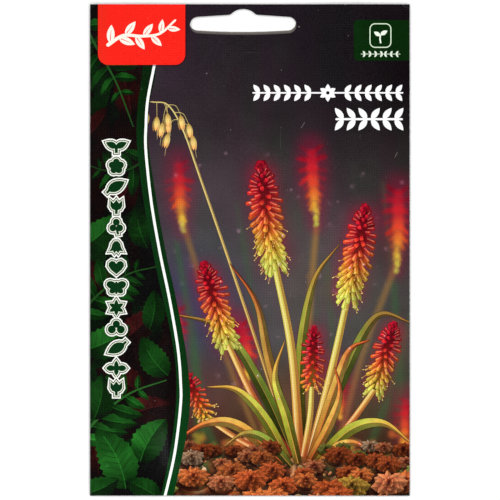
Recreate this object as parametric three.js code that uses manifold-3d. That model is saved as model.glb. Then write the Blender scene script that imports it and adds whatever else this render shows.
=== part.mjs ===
// A flat paper seed packet of the kind that hangs on a shop peg.
//
// One die-cut paper blank is folded into an envelope: a front panel, a flap
// down each side that turns in behind it, and a back panel that turns up from
// the bottom edge and is glued over the two flaps. The mouth at the top is
// closed by a bead of hot melt between the panels. A euro slot is punched
// through both panels above the bead. A heat-sealed sachet made of two film
// webs lies inside and holds the seeds.
//
// Frame: millimetres, +Z up. The packet lies on its back: +X to the right
// across the front, +Y up the front towards the slot, the back's outer face
// at z = 0, the origin at the middle of the outline.

import * as THREE from "three";
import { mergeVertices } from "three/addons/utils/BufferGeometryUtils.js";
import Module from "manifold-3d";

const wasm = await Module();
wasm.setup();

// ---- driving dimensions, in millimetres ----
const WIDTH = 96.0; // outline, fold to fold
const HEIGHT = 147.6; // outline, bottom fold to top edge
const PAPER = 0.2; // coated paper
const EDGE_Z = 0.8; // outer face of the front panel at its four edges
const SWELL = 1.1; // how far the front stands proud over the sachet
const FOLD_SIDE = 0.24; // outer radius of a side fold
const FOLD_BOTTOM = EDGE_Z / 2; // outer radius of the bottom fold
const FLAP = 11.0; // width of a side flap
const FLAP_LOW = -71.4; // flap's ends, along Y
const FLAP_HIGH = 72.4;
const FLAP_CHAMFER = 4.0;
const BACK_INSET = 0.9; // back panel's raw side edges stand in from the folds
const BACK_TOP = HEIGHT / 2 - 0.3; // back panel's top edge
const GLUE_GAP = 0.01; // air between a glue line and the paper it holds

// euro slot: middle of the slot, its half length, and its levels along Y
const SLOT_X = -2.0;
const SLOT_HALF = 16.0;
const SLOT_END_TOP = 70.05;
const SLOT_SHOULDER_TOP = 70.62;
const SLOT_HUMP_TOP = 72.4;
const SLOT_HUMP_RADIUS = 5.1;
const SLOT_HUMP_HALF = 3.5; // half width where the hump's arc meets its fillets
const SLOT_END_BOTTOM = 65.05;
const SLOT_MID_BOTTOM = 64.6;
// the two punched panels meet a little out of line after folding
const BACK_SLOT_DX = -0.15;
const BACK_SLOT_DY = 0.7;

// sachet
const SACHET_W = 54.0;
const SACHET_H = 72.0;
const SACHET_Y = -30.0; // its middle
const FILM = 0.1;
const SEAL = 6.0; // width of the sealed border
const SACHET_SWELL = 0.7;
const SACHET_Z = PAPER + 0.04; // underside of the back web
const WEB_GAP = 0.02;

// seeds: small spindles
const SEED_LENGTH = 0.72;
const SEED_RADIUS = 0.11;
const SEEDS = [
  // x, y, turn about Z in degrees
  [-6.2, -51.4, 12],
  [-4.1, -53.0, 74],
  [-2.6, -50.6, 131],
  [-0.8, -52.7, 38],
  [0.7, -54.3, 163],
  [1.9, -51.1, 97],
  [3.4, -53.4, 21],
  [4.9, -51.9, 118],
  [6.4, -53.9, 58],
  [-5.3, -55.0, 151],
  [-1.7, -55.6, 86],
  [2.7, -56.1, 5],
  [5.8, -56.3, 142],
  [-3.4, -48.6, 49],
  [2.2, -48.2, 171],
];

// ---- materials ----
const paper = new THREE.MeshStandardMaterial({ color: 0x2a2428, roughness: 0.35, metalness: 0 });
const glue = new THREE.MeshStandardMaterial({ color: 0xe9e2cf, roughness: 0.3, metalness: 0 });
const film = new THREE.MeshStandardMaterial({ color: 0xdfe6e6, roughness: 0.2, metalness: 0 });
const seed = new THREE.MeshStandardMaterial({ color: 0x20150f, roughness: 0.6, metalness: 0 });

// ---- helpers ----
const smooth = (a, b, x) => {
  const t = Math.min(1, Math.max(0, (x - a) / (b - a)));
  return t * t * t * (t * (6 * t - 15) + 10);
};

// How far the front panel is lifted over its edge level at (x, y).
function swell(x, y) {
  const across = 1 - smooth(20, 37.5, Math.abs(x));
  const along = smooth(-72.0, -50, y) * (1 - smooth(-14, 40, y));
  return SWELL * across * along;
}

// How far the sachet's front web is lifted over its sealed border.
function sachetSwell(x, y) {
  const across = 1 - smooth(SACHET_W / 2 - SEAL - 9, SACHET_W / 2 - SEAL, Math.abs(x));
  const along = 1 - smooth(SACHET_H / 2 - SEAL - 6, SACHET_H / 2 - SEAL, Math.abs(y - SACHET_Y));
  return SACHET_SWELL * across * along;
}

// A closed solid from a geometry whose shared vertices are merged.
function solid(geometry) {
  const g = geometry.index ? geometry.toNonIndexed() : geometry.clone();
  const bare = new THREE.BufferGeometry().setAttribute("position", g.getAttribute("position"));
  const merged = mergeVertices(bare, 1e-4);
  return new wasm.Manifold(
    new wasm.Mesh({
      numProp: 3,
      vertProperties: merged.attributes.position.array,
      triVerts: new Uint32Array(merged.index.array),
    }),
  );
}

function geometryOf(made) {
  const m = made.getMesh();
  const v = new Float32Array(m.numVert * 3);
  for (let i = 0; i < m.numVert; i++) v.set(m.vertProperties.subarray(i * m.numProp, i * m.numProp + 3), i * 3);
  const g = new THREE.BufferGeometry();
  g.setAttribute("position", new THREE.BufferAttribute(v, 3));
  g.setIndex(new THREE.BufferAttribute(new Uint32Array(m.triVerts), 1));
  g.computeVertexNormals();
  return g;
}

// A flat sheet between z = low and z = low + thick, cut to a shape.
function sheet(shape, low, thick) {
  const g = new THREE.ExtrudeGeometry(shape, { depth: thick, bevelEnabled: false, curveSegments: 10 });
  g.translate(0, 0, low);
  return g;
}

// A sheet on a grid, lifted by a function of x and y, so that it can swell.
function liftedSheet(w, h, thick, cx, cy, low, nx, ny, lift) {
  const g = new THREE.BoxGeometry(w, h, thick, nx, ny, 1);
  g.translate(cx, cy, low + thick / 2);
  const p = g.getAttribute("position");
  for (let i = 0; i < p.count; i++) p.setZ(i, p.getZ(i) + lift(p.getX(i), p.getY(i)));
  return g;
}

function rectangle(x0, x1, y0, y1) {
  return new THREE.Shape([
    new THREE.Vector2(x0, y0),
    new THREE.Vector2(x1, y0),
    new THREE.Vector2(x1, y1),
    new THREE.Vector2(x0, y1),
  ]);
}

// Half a ring of paper, open towards -X, in the plane of (u, z), as a shape.
function halfRing(outer, inner) {
  const s = new THREE.Shape();
  s.absarc(0, 0, outer, -Math.PI / 2, Math.PI / 2, false);
  s.lineTo(0, inner);
  s.absarc(0, 0, inner, Math.PI / 2, -Math.PI / 2, true);
  s.lineTo(0, -outer);
  return s;
}

// The euro slot's outline: a long slot with a bowed lower edge and a hump for the peg.
function slotOutline(dx, dy) {
  const s = new THREE.Shape();
  const x = SLOT_X + dx;
  const r = (SLOT_END_TOP - SLOT_END_BOTTOM) / 2;
  const midY = (SLOT_END_TOP + SLOT_END_BOTTOM) / 2 + dy;
  const left = x - SLOT_HALF + r;
  const right = x + SLOT_HALF - r;
  s.moveTo(left, SLOT_END_BOTTOM + dy);
  s.quadraticCurveTo(x, 2 * SLOT_MID_BOTTOM - SLOT_END_BOTTOM + dy, right, SLOT_END_BOTTOM + dy);
  s.absarc(right, midY, r, -Math.PI / 2, Math.PI / 2, false);
  const humpY = SLOT_HUMP_TOP - SLOT_HUMP_RADIUS + dy;
  const half = Math.acos(SLOT_HUMP_HALF / SLOT_HUMP_RADIUS);
  const footY = humpY + SLOT_HUMP_RADIUS * Math.sin(half);
  const shoulder = SLOT_SHOULDER_TOP + dy;
  s.lineTo(x + SLOT_HUMP_HALF + 1.1, shoulder);
  s.quadraticCurveTo(x + SLOT_HUMP_HALF + 0.4, shoulder + 0.03, x + SLOT_HUMP_HALF, footY);
  s.absarc(x, humpY, SLOT_HUMP_RADIUS, half, Math.PI - half, false);
  s.quadraticCurveTo(x - SLOT_HUMP_HALF - 0.4, shoulder + 0.03, x - SLOT_HUMP_HALF - 1.1, shoulder);
  s.lineTo(left, SLOT_END_TOP + dy);
  s.absarc(left, midY, r, Math.PI / 2, (3 * Math.PI) / 2, false);
  return s;
}

function slotCutter(dx, dy, low, high) {
  return solid(sheet(slotOutline(dx, dy), low, high - low));
}

// ---- the folded paper blank ----
function foldedBlank() {
  const plateX = WIDTH / 2 - FOLD_SIDE;
  const bottomY = -HEIGHT / 2 + FOLD_BOTTOM;
  const topY = HEIGHT / 2;
  const backX = WIDTH / 2 - BACK_INSET;

  // front panel, swollen over the sachet
  let blank = solid(
    liftedSheet(2 * plateX, topY - bottomY, PAPER, 0, (topY + bottomY) / 2, EDGE_Z - PAPER, 20, 30, swell),
  );
  // its raw edges where the flaps stop short of the corners
  for (const side of [-1, 1])
    for (const [y0, y1] of [
      [-HEIGHT / 2, FLAP_LOW],
      [FLAP_HIGH, topY],
    ]) {
      const x0 = side > 0 ? backX : -WIDTH / 2;
      const x1 = side > 0 ? WIDTH / 2 : -backX;
      blank = blank.add(solid(sheet(rectangle(x0, x1, y0, y1), EDGE_Z - PAPER, PAPER)));
    }
  // side folds and flaps
  for (const side of [-1, 1]) {
    const ring = new THREE.ExtrudeGeometry(halfRing(FOLD_SIDE, FOLD_SIDE - PAPER), {
      depth: FLAP_HIGH - FLAP_LOW,
      bevelEnabled: false,
      curveSegments: 8,
    });
    ring.rotateX(Math.PI / 2); // shape's (u, z) plane upright, depth along -Y
    ring.translate(0, FLAP_HIGH, 0);
    if (side < 0) ring.rotateZ(Math.PI).translate(0, FLAP_HIGH + FLAP_LOW, 0);
    ring.translate(side * plateX, 0, EDGE_Z - FOLD_SIDE);
    blank = blank.add(solid(ring));
    const inner = side * (WIDTH / 2 - FLAP);
    const outer = side * plateX;
    const flap = new THREE.Shape([
      new THREE.Vector2(outer, FLAP_LOW),
      new THREE.Vector2(outer, FLAP_HIGH),
      new THREE.Vector2(inner, FLAP_HIGH - FLAP_CHAMFER),
      new THREE.Vector2(inner, FLAP_LOW + FLAP_CHAMFER),
    ]);
    blank = blank.add(solid(sheet(flap, EDGE_Z - 2 * FOLD_SIDE, PAPER)));
  }
  blank = blank.subtract(slotCutter(0, 0, EDGE_Z - PAPER - 0.15, EDGE_Z + 0.5));

  // back panel, turned up from the bottom edge
  let back = solid(sheet(rectangle(-backX, backX, bottomY, BACK_TOP), 0, PAPER));
  back = back.subtract(slotCutter(BACK_SLOT_DX, BACK_SLOT_DY, -0.5, PAPER + 0.15));
  const fold = new THREE.ExtrudeGeometry(halfRing(FOLD_BOTTOM, FOLD_BOTTOM - PAPER), {
    depth: 2 * backX,
    bevelEnabled: false,
    curveSegments: 10,
  });
  fold.rotateX(Math.PI / 2); // upright, depth along -Y
  fold.rotateZ(-Math.PI / 2); // opening towards +Y, depth along -X
  fold.translate(backX, bottomY, EDGE_Z - FOLD_BOTTOM);
  return blank.add(back).add(solid(fold));
}

// ---- assembly ----
const packet = new THREE.Group();

function place(name, geometry, material, x = 0, y = 0, z = 0, turn = 0) {
  const mesh = new THREE.Mesh(geometry, material);
  mesh.name = name;
  mesh.position.set(x, y, z);
  mesh.rotation.z = turn;
  packet.add(mesh);
  return mesh;
}

place("packet_envelope", geometryOf(foldedBlank()), paper);

// glue lines between the side flaps and the back panel
const flapFace = EDGE_Z - 2 * FOLD_SIDE;
for (const [name, side] of [
  ["side_seam_glue_left", -1],
  ["side_seam_glue_right", 1],
]) {
  const g = new THREE.BoxGeometry(5.0, 128.0, flapFace - PAPER - 2 * GLUE_GAP);
  place(name, g, glue, side * (WIDTH / 2 - 6.2), 0.5, (flapFace + PAPER) / 2);
}

// hot-melt bead that closes the mouth, below the slot
{
  const thick = EDGE_Z - 2 * PAPER - 2 * GLUE_GAP;
  const half = 34.5;
  const bead = new THREE.Shape();
  bead.moveTo(-half, -1.5);
  bead.lineTo(half, -1.5);
  bead.absarc(half, 0, 1.5, -Math.PI / 2, Math.PI / 2, false);
  bead.lineTo(-half, 1.5);
  bead.absarc(-half, 0, 1.5, Math.PI / 2, (3 * Math.PI) / 2, false);
  place("mouth_hot_melt_bead", sheet(bead, 0, thick), glue, 0, 60.5, PAPER + GLUE_GAP);
}

// inner sachet: a flat back web and a swollen front web, sealed round the edge
place(
  "sachet_back_web",
  new THREE.BoxGeometry(SACHET_W, SACHET_H, FILM, 2, 2, 1),
  film,
  0,
  SACHET_Y,
  SACHET_Z + FILM / 2,
);
place(
  "sachet_front_web",
  liftedSheet(SACHET_W, SACHET_H, FILM, 0, SACHET_Y, SACHET_Z + FILM + WEB_GAP, 14, 18, sachetSwell),
  film,
);

// seeds, each a spindle on its side on the back web
SEEDS.forEach(([x, y, turn], i) => {
  const rings = 8;
  const profile = [];
  for (let k = 0; k <= rings; k++) {
    const t = k / rings;
    const r = k === 0 || k === rings ? 0 : SEED_RADIUS * Math.pow(Math.sin(Math.PI * t), 0.8);
    profile.push(new THREE.Vector2(r, (t - 0.5) * SEED_LENGTH));
  }
  const name = "seed_" + String(i + 1).padStart(2, "0");
  place(name, new THREE.LatheGeometry(profile, 8), seed, x, y, SACHET_Z + FILM + 0.01 + SEED_RADIUS, (turn * Math.PI) / 180);
});

export default packet;
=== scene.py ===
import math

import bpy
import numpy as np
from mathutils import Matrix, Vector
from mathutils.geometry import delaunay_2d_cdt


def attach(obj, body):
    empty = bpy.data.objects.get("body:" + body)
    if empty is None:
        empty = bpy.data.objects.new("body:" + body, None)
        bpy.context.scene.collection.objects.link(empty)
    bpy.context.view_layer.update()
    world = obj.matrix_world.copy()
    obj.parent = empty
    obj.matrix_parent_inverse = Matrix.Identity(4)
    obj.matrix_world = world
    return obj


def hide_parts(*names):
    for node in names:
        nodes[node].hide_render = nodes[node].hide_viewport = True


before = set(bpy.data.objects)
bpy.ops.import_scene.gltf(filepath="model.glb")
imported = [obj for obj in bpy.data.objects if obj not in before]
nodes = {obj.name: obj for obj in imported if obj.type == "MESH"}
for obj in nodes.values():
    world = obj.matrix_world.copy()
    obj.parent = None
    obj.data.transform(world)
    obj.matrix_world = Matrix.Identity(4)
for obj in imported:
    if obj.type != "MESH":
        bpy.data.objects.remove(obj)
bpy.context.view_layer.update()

# A flat paper seed packet, lying on its back.
#
# The envelope is one folded sheet. It is laid out flat first, as the die-cut
# blank it is made from, and its print is drawn on that blank as plain outlines:
# the blank's outline, its slots, its creases and every edge in the print become
# one flat triangulation, each triangle takes its colour from the print, and the
# blank is then folded up round its creases and given its thickness.
#
# Lengths are in millimetres until the meshes are made, which are in metres.

MM = 0.001

# ---------------------------------------------------------------- dimensions
WIDTH, HEIGHT = 96.0, 147.6
PAPER = 0.2
EDGE_Z = 0.8
SWELL = 1.1
FOLD_SIDE, FOLD_BOTTOM = 0.24, 0.40
FLAP_LOW, FLAP_HIGH, FLAP_CHAMFER = -71.4, 72.4, 4.0
FLAP = 11.0
BACK_INSET = 0.9

UF = WIDTH / 2 - FOLD_SIDE                 # where the side fold begins
LF = math.pi * FOLD_SIDE                   # its length along the sheet
UC = UF + LF / 2                           # outline at the corners with no flap
UE = UF + LF + (UF - (WIDTH / 2 - FLAP))   # outer end of a flap, laid flat
BX = WIDTH / 2 - BACK_INSET                # back panel's half width
VB = -HEIGHT / 2 + FOLD_BOTTOM             # where the bottom fold begins
LB = math.pi * FOLD_BOTTOM
TOP = HEIGHT / 2
BACK_TOP = TOP - 0.3
VS = 2 * VB - LB                           # v = VS - y on the back panel
BACK_DX, BACK_DY = -0.15, 0.91             # the back's slot sits a little off the front's


# ------------------------------------------------------------ small geometry
def arr(p):
    return np.asarray(p, float)


def unit(v):
    v = arr(v)
    return v / max(1e-12, float(np.hypot(*v)))


def polar(c, r, deg):
    a = np.radians(deg)
    return np.stack([c[0] + r * np.cos(a), c[1] + r * np.sin(a)], -1)


def disc(c, r, n=10, ry=None, turn=0.0, phase=0.0):
    a = 2 * np.pi * (np.arange(n) + phase) / n
    x, y = r * np.cos(a), (r if ry is None else ry) * np.sin(a)
    t = math.radians(turn)
    return np.stack([c[0] + x * math.cos(t) - y * math.sin(t), c[1] + x * math.sin(t) + y * math.cos(t)], -1)


def curve(ctrl, n):
    """n points on a Catmull-Rom curve through ctrl."""
    p = arr(ctrl)
    p = np.vstack([2 * p[0] - p[1], p, 2 * p[-1] - p[-2]])
    k = len(p) - 3
    t = np.linspace(0, k, n)
    i = np.minimum(t.astype(int), k - 1)
    f = (t - i)[:, None]
    a, b, c, d = p[i], p[i + 1], p[i + 2], p[i + 3]
    return 0.5 * ((2 * b) + (c - a) * f + (2 * a - 5 * b + 4 * c - d) * f**2 + (3 * b - a - 3 * c + d) * f**3)


def normals_of(p):
    t = np.gradient(p, axis=0)
    t /= np.maximum(np.hypot(t[:, 0], t[:, 1])[:, None], 1e-9)
    return np.stack([-t[:, 1], t[:, 0]], -1)


def stroke(p, w, cap=0):
    """The outline of a line through p. w is its width, one number or one for each point."""
    p = arr(p)
    n = normals_of(p)
    h = np.broadcast_to(arr(w), (len(p),))[:, None] / 2
    left, right = p + n * h, p - n * h
    if not cap:
        return np.vstack([left, right[::-1]])
    out = [left]
    for q, m, r in ((p[-1], n[-1], h[-1, 0]), (p[0], -n[0], h[0, 0])):
        a0 = math.degrees(math.atan2(m[1], m[0]))
        out.append(polar(q, r, a0 - 180 * np.arange(1, cap + 1) / (cap + 1)))
        if q is p[-1] or np.allclose(q, p[-1]):
            out.append(right[::-1])
    return np.vstack(out)


def box(x0, y0, x1, y1, r=0.0, n=4, corners="abcd"):
    """A rectangle with round corners: a is low left, then anticlockwise."""
    out = []
    for key, cx, cy, a0 in (
        ("a", x0, y0, 180), ("b", x1, y0, 270), ("c", x1, y1, 0), ("d", x0, y1, 90)
    ):
        if r and key in corners:
            mx = x0 + r if cx == x0 else x1 - r
            my = y0 + r if cy == y0 else y1 - r
            out.append(polar((mx, my), r, a0 + 90 * np.arange(n + 1) / n))
        else:
            out.append(arr([[cx, cy]]))
    return np.vstack(out)


def moved(p, dx=0.0, dy=0.0, s=1.0, turn=0.0):
    p = arr(p) * s
    t = math.radians(turn)
    c, q = math.cos(t), math.sin(t)
    return np.stack([p[:, 0] * c - p[:, 1] * q + dx, p[:, 0] * q + p[:, 1] * c + dy], -1)


def inside(poly, pts):
    """Which points lie in a polygon, by winding number."""
    x, y = pts[:, 0], pts[:, 1]
    wind = np.zeros(len(pts), int)
    q = np.roll(poly, -1, axis=0)
    for (x0, y0), (x1, y1) in zip(poly, q):
        if y0 == y1:
            continue
        side = (x1 - x0) * (y - y0) - (x - x0) * (y1 - y0)
        if y0 < y1:
            wind += (y0 <= y) & (y < y1) & (side > 0)
        else:
            wind -= (y1 <= y) & (y < y0) & (side < 0)
    return wind != 0


def clipped(poly, x0, y0, x1, y1):
    """A polygon cut to a rectangle, or None."""
    for axis, limit, keep_low in ((0, x0, False), (0, x1, True), (1, y0, False), (1, y1, True)):
        v = poly[:, axis]
        ok = v <= limit if keep_low else v >= limit
        if ok.all():
            continue
        if not ok.any():
            return None
        out = []
        for i in range(len(poly)):
            j = (i + 1) % len(poly)
            if ok[i]:
                out.append(poly[i])
            if ok[i] != ok[j]:
                f = (limit - v[i]) / (v[j] - v[i])
                out.append(poly[i] + f * (poly[j] - poly[i]))
        poly = arr(out)
        if len(poly) < 3:
            return None
    return poly


def slot_outline(dx, dy):
    """The euro slot, anticlockwise from the low left."""
    x, hr = -2.0 + dx, 5.1
    top, low, mid = 70.05 + dy, 65.05 + dy, 64.6 + dy
    shoulder, hump, half = 70.62 + dy, 72.4 + dy - hr, 3.5
    r = (top - low) / 2
    cy = (top + low) / 2
    left, right = x - 16 + r, x + 16 - r
    t = np.linspace(0, 1, 15)[:, None]

    def quad(a, b, c):
        return (1 - t) ** 2 * arr(a) + 2 * t * (1 - t) * arr(b) + t**2 * arr(c)

    a = math.degrees(math.acos(half / hr))
    foot = hump + hr * math.sin(math.radians(a))
    parts = [
        quad((left, low), (x, 2 * mid - low), (right, low)),
        polar((right, cy), r, np.linspace(-90, 90, 19)[1:]),
        quad((x + half + 1.1, shoulder), (x + half + 0.4, shoulder + 0.03), (x + half, foot)),
        polar((x, hump), hr, np.linspace(a, 180 - a, 23)[1:-1]),
        quad((x - half, foot), (x - half - 0.4, shoulder + 0.03), (x - half - 1.1, shoulder)),
        polar((left, cy), r, np.linspace(90, 270, 19)[:-1]),
    ]
    return np.vstack(parts)


# --------------------------------------------------------------------- noise
def lattice(ix, iy, seed):
    h = (ix.astype(np.int64) * 374761393 + iy.astype(np.int64) * 668265263 + seed * 1442695041) & 0xFFFFFFFF
    h = ((h ^ (h >> 13)) * 1274126177) & 0xFFFFFFFF
    h ^= h >> 16
    return (h & 0xFFFF) / 65535.0


def noise(p, scale, seed=0):
    """Smooth noise from -1 to 1 with features about scale wide."""
    q = p / scale
    i = np.floor(q).astype(int)
    f = q - i
    f = f * f * (3 - 2 * f)
    a = lattice(i[:, 0], i[:, 1], seed)
    b = lattice(i[:, 0] + 1, i[:, 1], seed)
    c = lattice(i[:, 0], i[:, 1] + 1, seed)
    d = lattice(i[:, 0] + 1, i[:, 1] + 1, seed)
    low = a + (b - a) * f[:, 0]
    high = c + (d - c) * f[:, 0]
    return 2 * (low + (high - low) * f[:, 1]) - 1


def ramp(t, stops):
    """Colours along t from (place, colour) stops."""
    at = [s[0] for s in stops]
    cs = arr([s[1] for s in stops])
    return np.stack([np.interp(t, at, cs[:, k]) for k in range(3)], -1)


def step(a, b, x):
    t = np.clip((x - a) / (b - a), 0, 1)
    return t * t * (3 - 2 * t)


# -------------------------------------------------------------- the print
# Colours are screen colours from 0 to 255. The print is a list of outlines,
# each painted over what lies under it, on a soft ground that is a function of
# place. Front outlines are in front coordinates; back outlines are drawn as
# seen from behind, slot up, and turned into place.
shapes = []


def put(poly, paint, alpha=1.0, area="front"):
    poly = arr(poly)
    if area == "front":
        poly = clipped(poly, -UF - LF, VB - LB / 2 - 0.1, UF + LF, TOP + 0.3)
    else:
        poly = clipped(poly, -BX - 0.3, VB - LB / 2 - 0.1, BX + 0.3, BACK_TOP + 0.3)
    if poly is None:
        return
    if area == "back":
        poly = np.stack([-poly[:, 0], VS - poly[:, 1]], -1)
    shapes.append((poly, paint, alpha, area))


def flat(*c):
    c = arr(c)
    return lambda p: np.broadcast_to(c, (len(p), 3))


def along(a, b, stops, rough=0.0, seed=3):
    a, b = arr(a), arr(b)
    d = b - a
    d = d / max(1e-9, float(d @ d))

    def paint(p):
        t = (p - a) @ d
        if rough:
            t = t + rough * noise(p, 0.9, seed)
        return ramp(t, stops)

    return paint


def radial(c, r, stops):
    c = arr(c)
    return lambda p: ramp(np.hypot(p[:, 0] - c[0], p[:, 1] - c[1]) / r, stops)


# -- soft ground of the main picture: dusk above, haze in the middle, warm earth below
DUSK = [(-74, (46, 27, 20)), (-58, (70, 42, 30)), (-44, (92, 68, 54)), (-28, (82, 78, 80)), (5, (79, 71, 72)), (36, (52, 45, 48)), (74, (38, 31, 38))]
GLOWS = [
    # x, y, half width, half height, colour, strength
    (-34, 52, 17, 26, (62, 48, 60), 0.75), (50, 58, 19, 26, (17, 13, 15), 0.85), (26, 60, 12, 20, (27, 23, 27), 0.65),
    (-16, 18, 18, 12, (84, 74, 80), 0.5), (-18, -18, 15, 16, (62, 68, 100), 0.75), (20, -12, 17, 14, (96, 90, 82), 0.6),
    (46, 10, 10, 20, (50, 45, 42), 0.6), (46, -34, 12, 16, (68, 80, 60), 0.7), (-16, -40, 12, 8, (102, 64, 64), 0.6), (10, -44, 12, 7, (108, 66, 50), 0.5),
]
soft = []


def soft_line(p, w, colour, blur, alpha):
    p = arr(p)
    w = np.broadcast_to(arr(w), (len(p),))
    soft.append((p, w, arr(colour), blur, alpha))


def ground(p):
    c = ramp(p[:, 1], DUSK)
    for x, y, wide, high, hue, strength in GLOWS:
        k = strength * np.exp(-(((p[:, 0] - x) / wide) ** 2 + ((p[:, 1] - y) / high) ** 2) / 1.2)
        c = c + k[:, None] * (arr(hue) - c)
    c = 0.91 * c
    c = c * (1 + 0.05 * noise(p, 9.0, 5) + 0.035 * noise(p, 3.1, 6))[:, None]
    c = c * (1 + noise(p * arr([1.0, 0.45]), 4.6, 8)[:, None] * arr([0.045, -0.055, 0.025]))
    for line, w, colour, blur, alpha in soft:
        reach = w.max() / 2 + blur
        lo, hi = line.min(0) - reach, line.max(0) + reach
        near = np.flatnonzero(((p >= lo) & (p <= hi)).all(1))
        if not len(near):
            continue
        q = p[near]
        best = np.full(len(q), 1e9)
        for a, b, wa, wb in zip(line[:-1], line[1:], w[:-1], w[1:]):
            d = b - a
            t = np.clip(((q - a) @ d) / max(1e-9, float(d @ d)), 0, 1)
            gap = np.hypot(*(q - a - t[:, None] * d).T) - (wa + (wb - wa) * t) / 2
            best = np.minimum(best, gap)
        k = alpha * (1 - step(-blur, blur, best))
        c[near] += k[:, None] * (colour - c[near])
    return c


def flecked(amount, scale, seed, paint):
    def more(p):
        return paint(p) * (1 + amount * noise(p, scale, seed))[:, None]

    return more


# -- a torch lily: a spike of hanging tubes, young and red at its top, old and yellow at its foot
LIGHT = unit((-0.45, 0.9))
TUBE = [(0.0, (136, 16, 34)), (0.16, (186, 22, 44)), (0.36, (222, 42, 46)), (0.54, (236, 88, 44)), (0.70, (240, 152, 48)), (0.85, (232, 204, 66)), (1.0, (206, 216, 92))]


def tube(base, way, long, wide, low, high, light):
    """One flower of the spike: a narrow tube, a little wider at its mouth."""
    d = unit(way)
    m = arr([-d[1], d[0]])
    small = long < 1.4
    at = arr([0.0, 0.5, 0.9, 1.0] if small else [0.0, 0.24, 0.8, 0.95, 1.0])
    half = wide * arr([0.28, 0.48, 0.48, 0.24] if small else [0.26, 0.42, 0.54, 0.46, 0.22])

    def sides(grow, pick):
        spine = base + np.outer(at[pick] * long, d)
        h = (half[pick] + grow)[:, None]
        return np.vstack([spine + m * h, (spine - m * h)[::-1]])

    if not small:
        put(sides(0.13, [0, 2, 4]) + d * 0.10, flat(64, 8, 18), 0.46)
    put(sides(0.0, slice(None)), along(base, base + d * long, [(0, np.minimum(255, low * light * 0.60)), (0.35, np.minimum(255, low * light)), (0.8, np.minimum(255, high * light * 1.06)), (1, np.minimum(255, high * light * 0.92))]))
    lit = 1 if m @ LIGHT > 0 else -1
    if long > 1.9:
        put(stroke([base + d * long * 0.2 - m * lit * wide * 0.20, base + d * long * 0.9 - m * lit * wide * 0.30], [wide * 0.22, wide * 0.30]), flat(*(low * 0.45)), 0.40)
        put(stroke([base + d * long * 0.25 + m * lit * wide * 0.16, base + d * long * 0.86 + m * lit * wide * 0.22], [wide * 0.16, wide * 0.22]), flat(255, 226, 176), 0.42)


def spike(foot, head, width, seed, age=1.0, step_mm=0.20, bend=0.0):
    """The flowers round an upright axis, the far ones first and each over the one below it."""
    r = np.random.default_rng(seed)
    foot, head = arr(foot), arr(head)
    axis = unit(head - foot)
    side = arr([axis[1], -axis[0]])
    long = float(np.hypot(*(head - foot)))
    line = curve([foot, (foot + head) / 2 + side * bend, head], 30)
    count = int(long / step_mm)
    m = normals_of(line)
    core_half = width * np.interp(np.linspace(1, 0, 30), [0, 0.15, 0.6, 1.0], [0.03, 0.16, 0.20, 0.15])
    put(np.vstack([line + m * core_half[:, None], (line - m * core_half[:, None])[::-1]]),
        along(foot, head, [(0, (96, 84, 30)), (0.3, (126, 62, 24)), (0.6, (104, 22, 22)), (1, (84, 8, 24))], 0.08, seed))
    flowers = []
    for i in range(count):
        t = ((i + r.uniform(0.2, 0.8)) / count) ** 1.35     # 0 at the head, 1 at the foot
        phi = i * 2.39996 + r.normal(0, 0.10)
        front, out = math.cos(phi), math.sin(phi)
        if front < -0.40:
            continue
        k = (1 - t) * 29
        a = int(min(28, k))
        here = line[a] + (line[a + 1] - line[a]) * (k - a)
        up = unit(line[a + 1] - line[a])
        across = arr([up[1], -up[0]])
        angle = math.radians(np.interp(t, [0, 0.10, 0.25, 0.5, 1.0], [14, 42, 88, 128, 152]) * (0.55 + 0.45 * age) + r.normal(0, 5))
        size = width * np.interp(t, [0, 0.12, 0.35, 0.85, 1.0], [0.16, 0.27, 0.44, 0.46, 0.40]) * r.uniform(0.9, 1.1)
        core = width * np.interp(t, [0, 0.2, 1.0], [0.04, 0.12, 0.15])
        way = up * math.cos(angle) + across * out * math.sin(angle)
        flat_long = float(np.hypot(*way))
        base = here + across * out * core
        flowers.append((front * 0.9 - t * 3.2 + r.normal(0, 0.04), base, unit(way), max(0.42, flat_long) * size, t, out, front, across))
    for _, base, way, size, t, out, front, across in sorted(flowers, key=lambda q: q[0]):
        turn = across * out
        light = 0.80 + 0.26 * float(turn @ LIGHT) + 0.20 * front + r.normal(0, 0.05)
        low = ramp(arr([np.clip(t * age - 0.05, 0, 1)]), TUBE)[0]
        high = ramp(arr([np.clip(t * age + 0.13, 0, 1)]), TUBE)[0] * r.uniform(0.94, 1.05)
        wide = width * np.interp(t, [0, 0.2, 0.6, 1.0], [0.075, 0.11, 0.135, 0.125])
        tip = base + way * size
        if t * age > 0.5 and r.random() < 0.62:
            for _ in range(r.integers(1, 3)):
                lean = unit(way + arr([r.normal(0, 0.22), r.normal(0, 0.22)]))
                end = tip + lean * r.uniform(0.8, 1.9)
                put(stroke([tip - way * 0.3, end], [0.17, 0.10]), flat(236, 176, 84), 0.9)
                put(disc(end, 0.17, 5), flat(250, 226, 130))
        tube(base, way, size, wide, low, high, light)
        if r.random() < 0.07 and size > 2:
            drop(base + way * size * r.uniform(0.4, 0.9), r.uniform(0.22, 0.42))


def drop(c, r):
    """A dewdrop: a clear bead, darker low in it, with a glint high."""
    put(disc(c, r, 8, phase=0.5), flat(238, 186, 196), 0.55)
    put(disc((c[0] + r * 0.10, c[1] - r * 0.14), r * 0.62, 6), flat(160, 26, 50), 0.55)
    put(disc((c[0] - r * 0.26, c[1] + r * 0.30), r * 0.36, 4), flat(255, 248, 250), 0.95)


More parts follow.
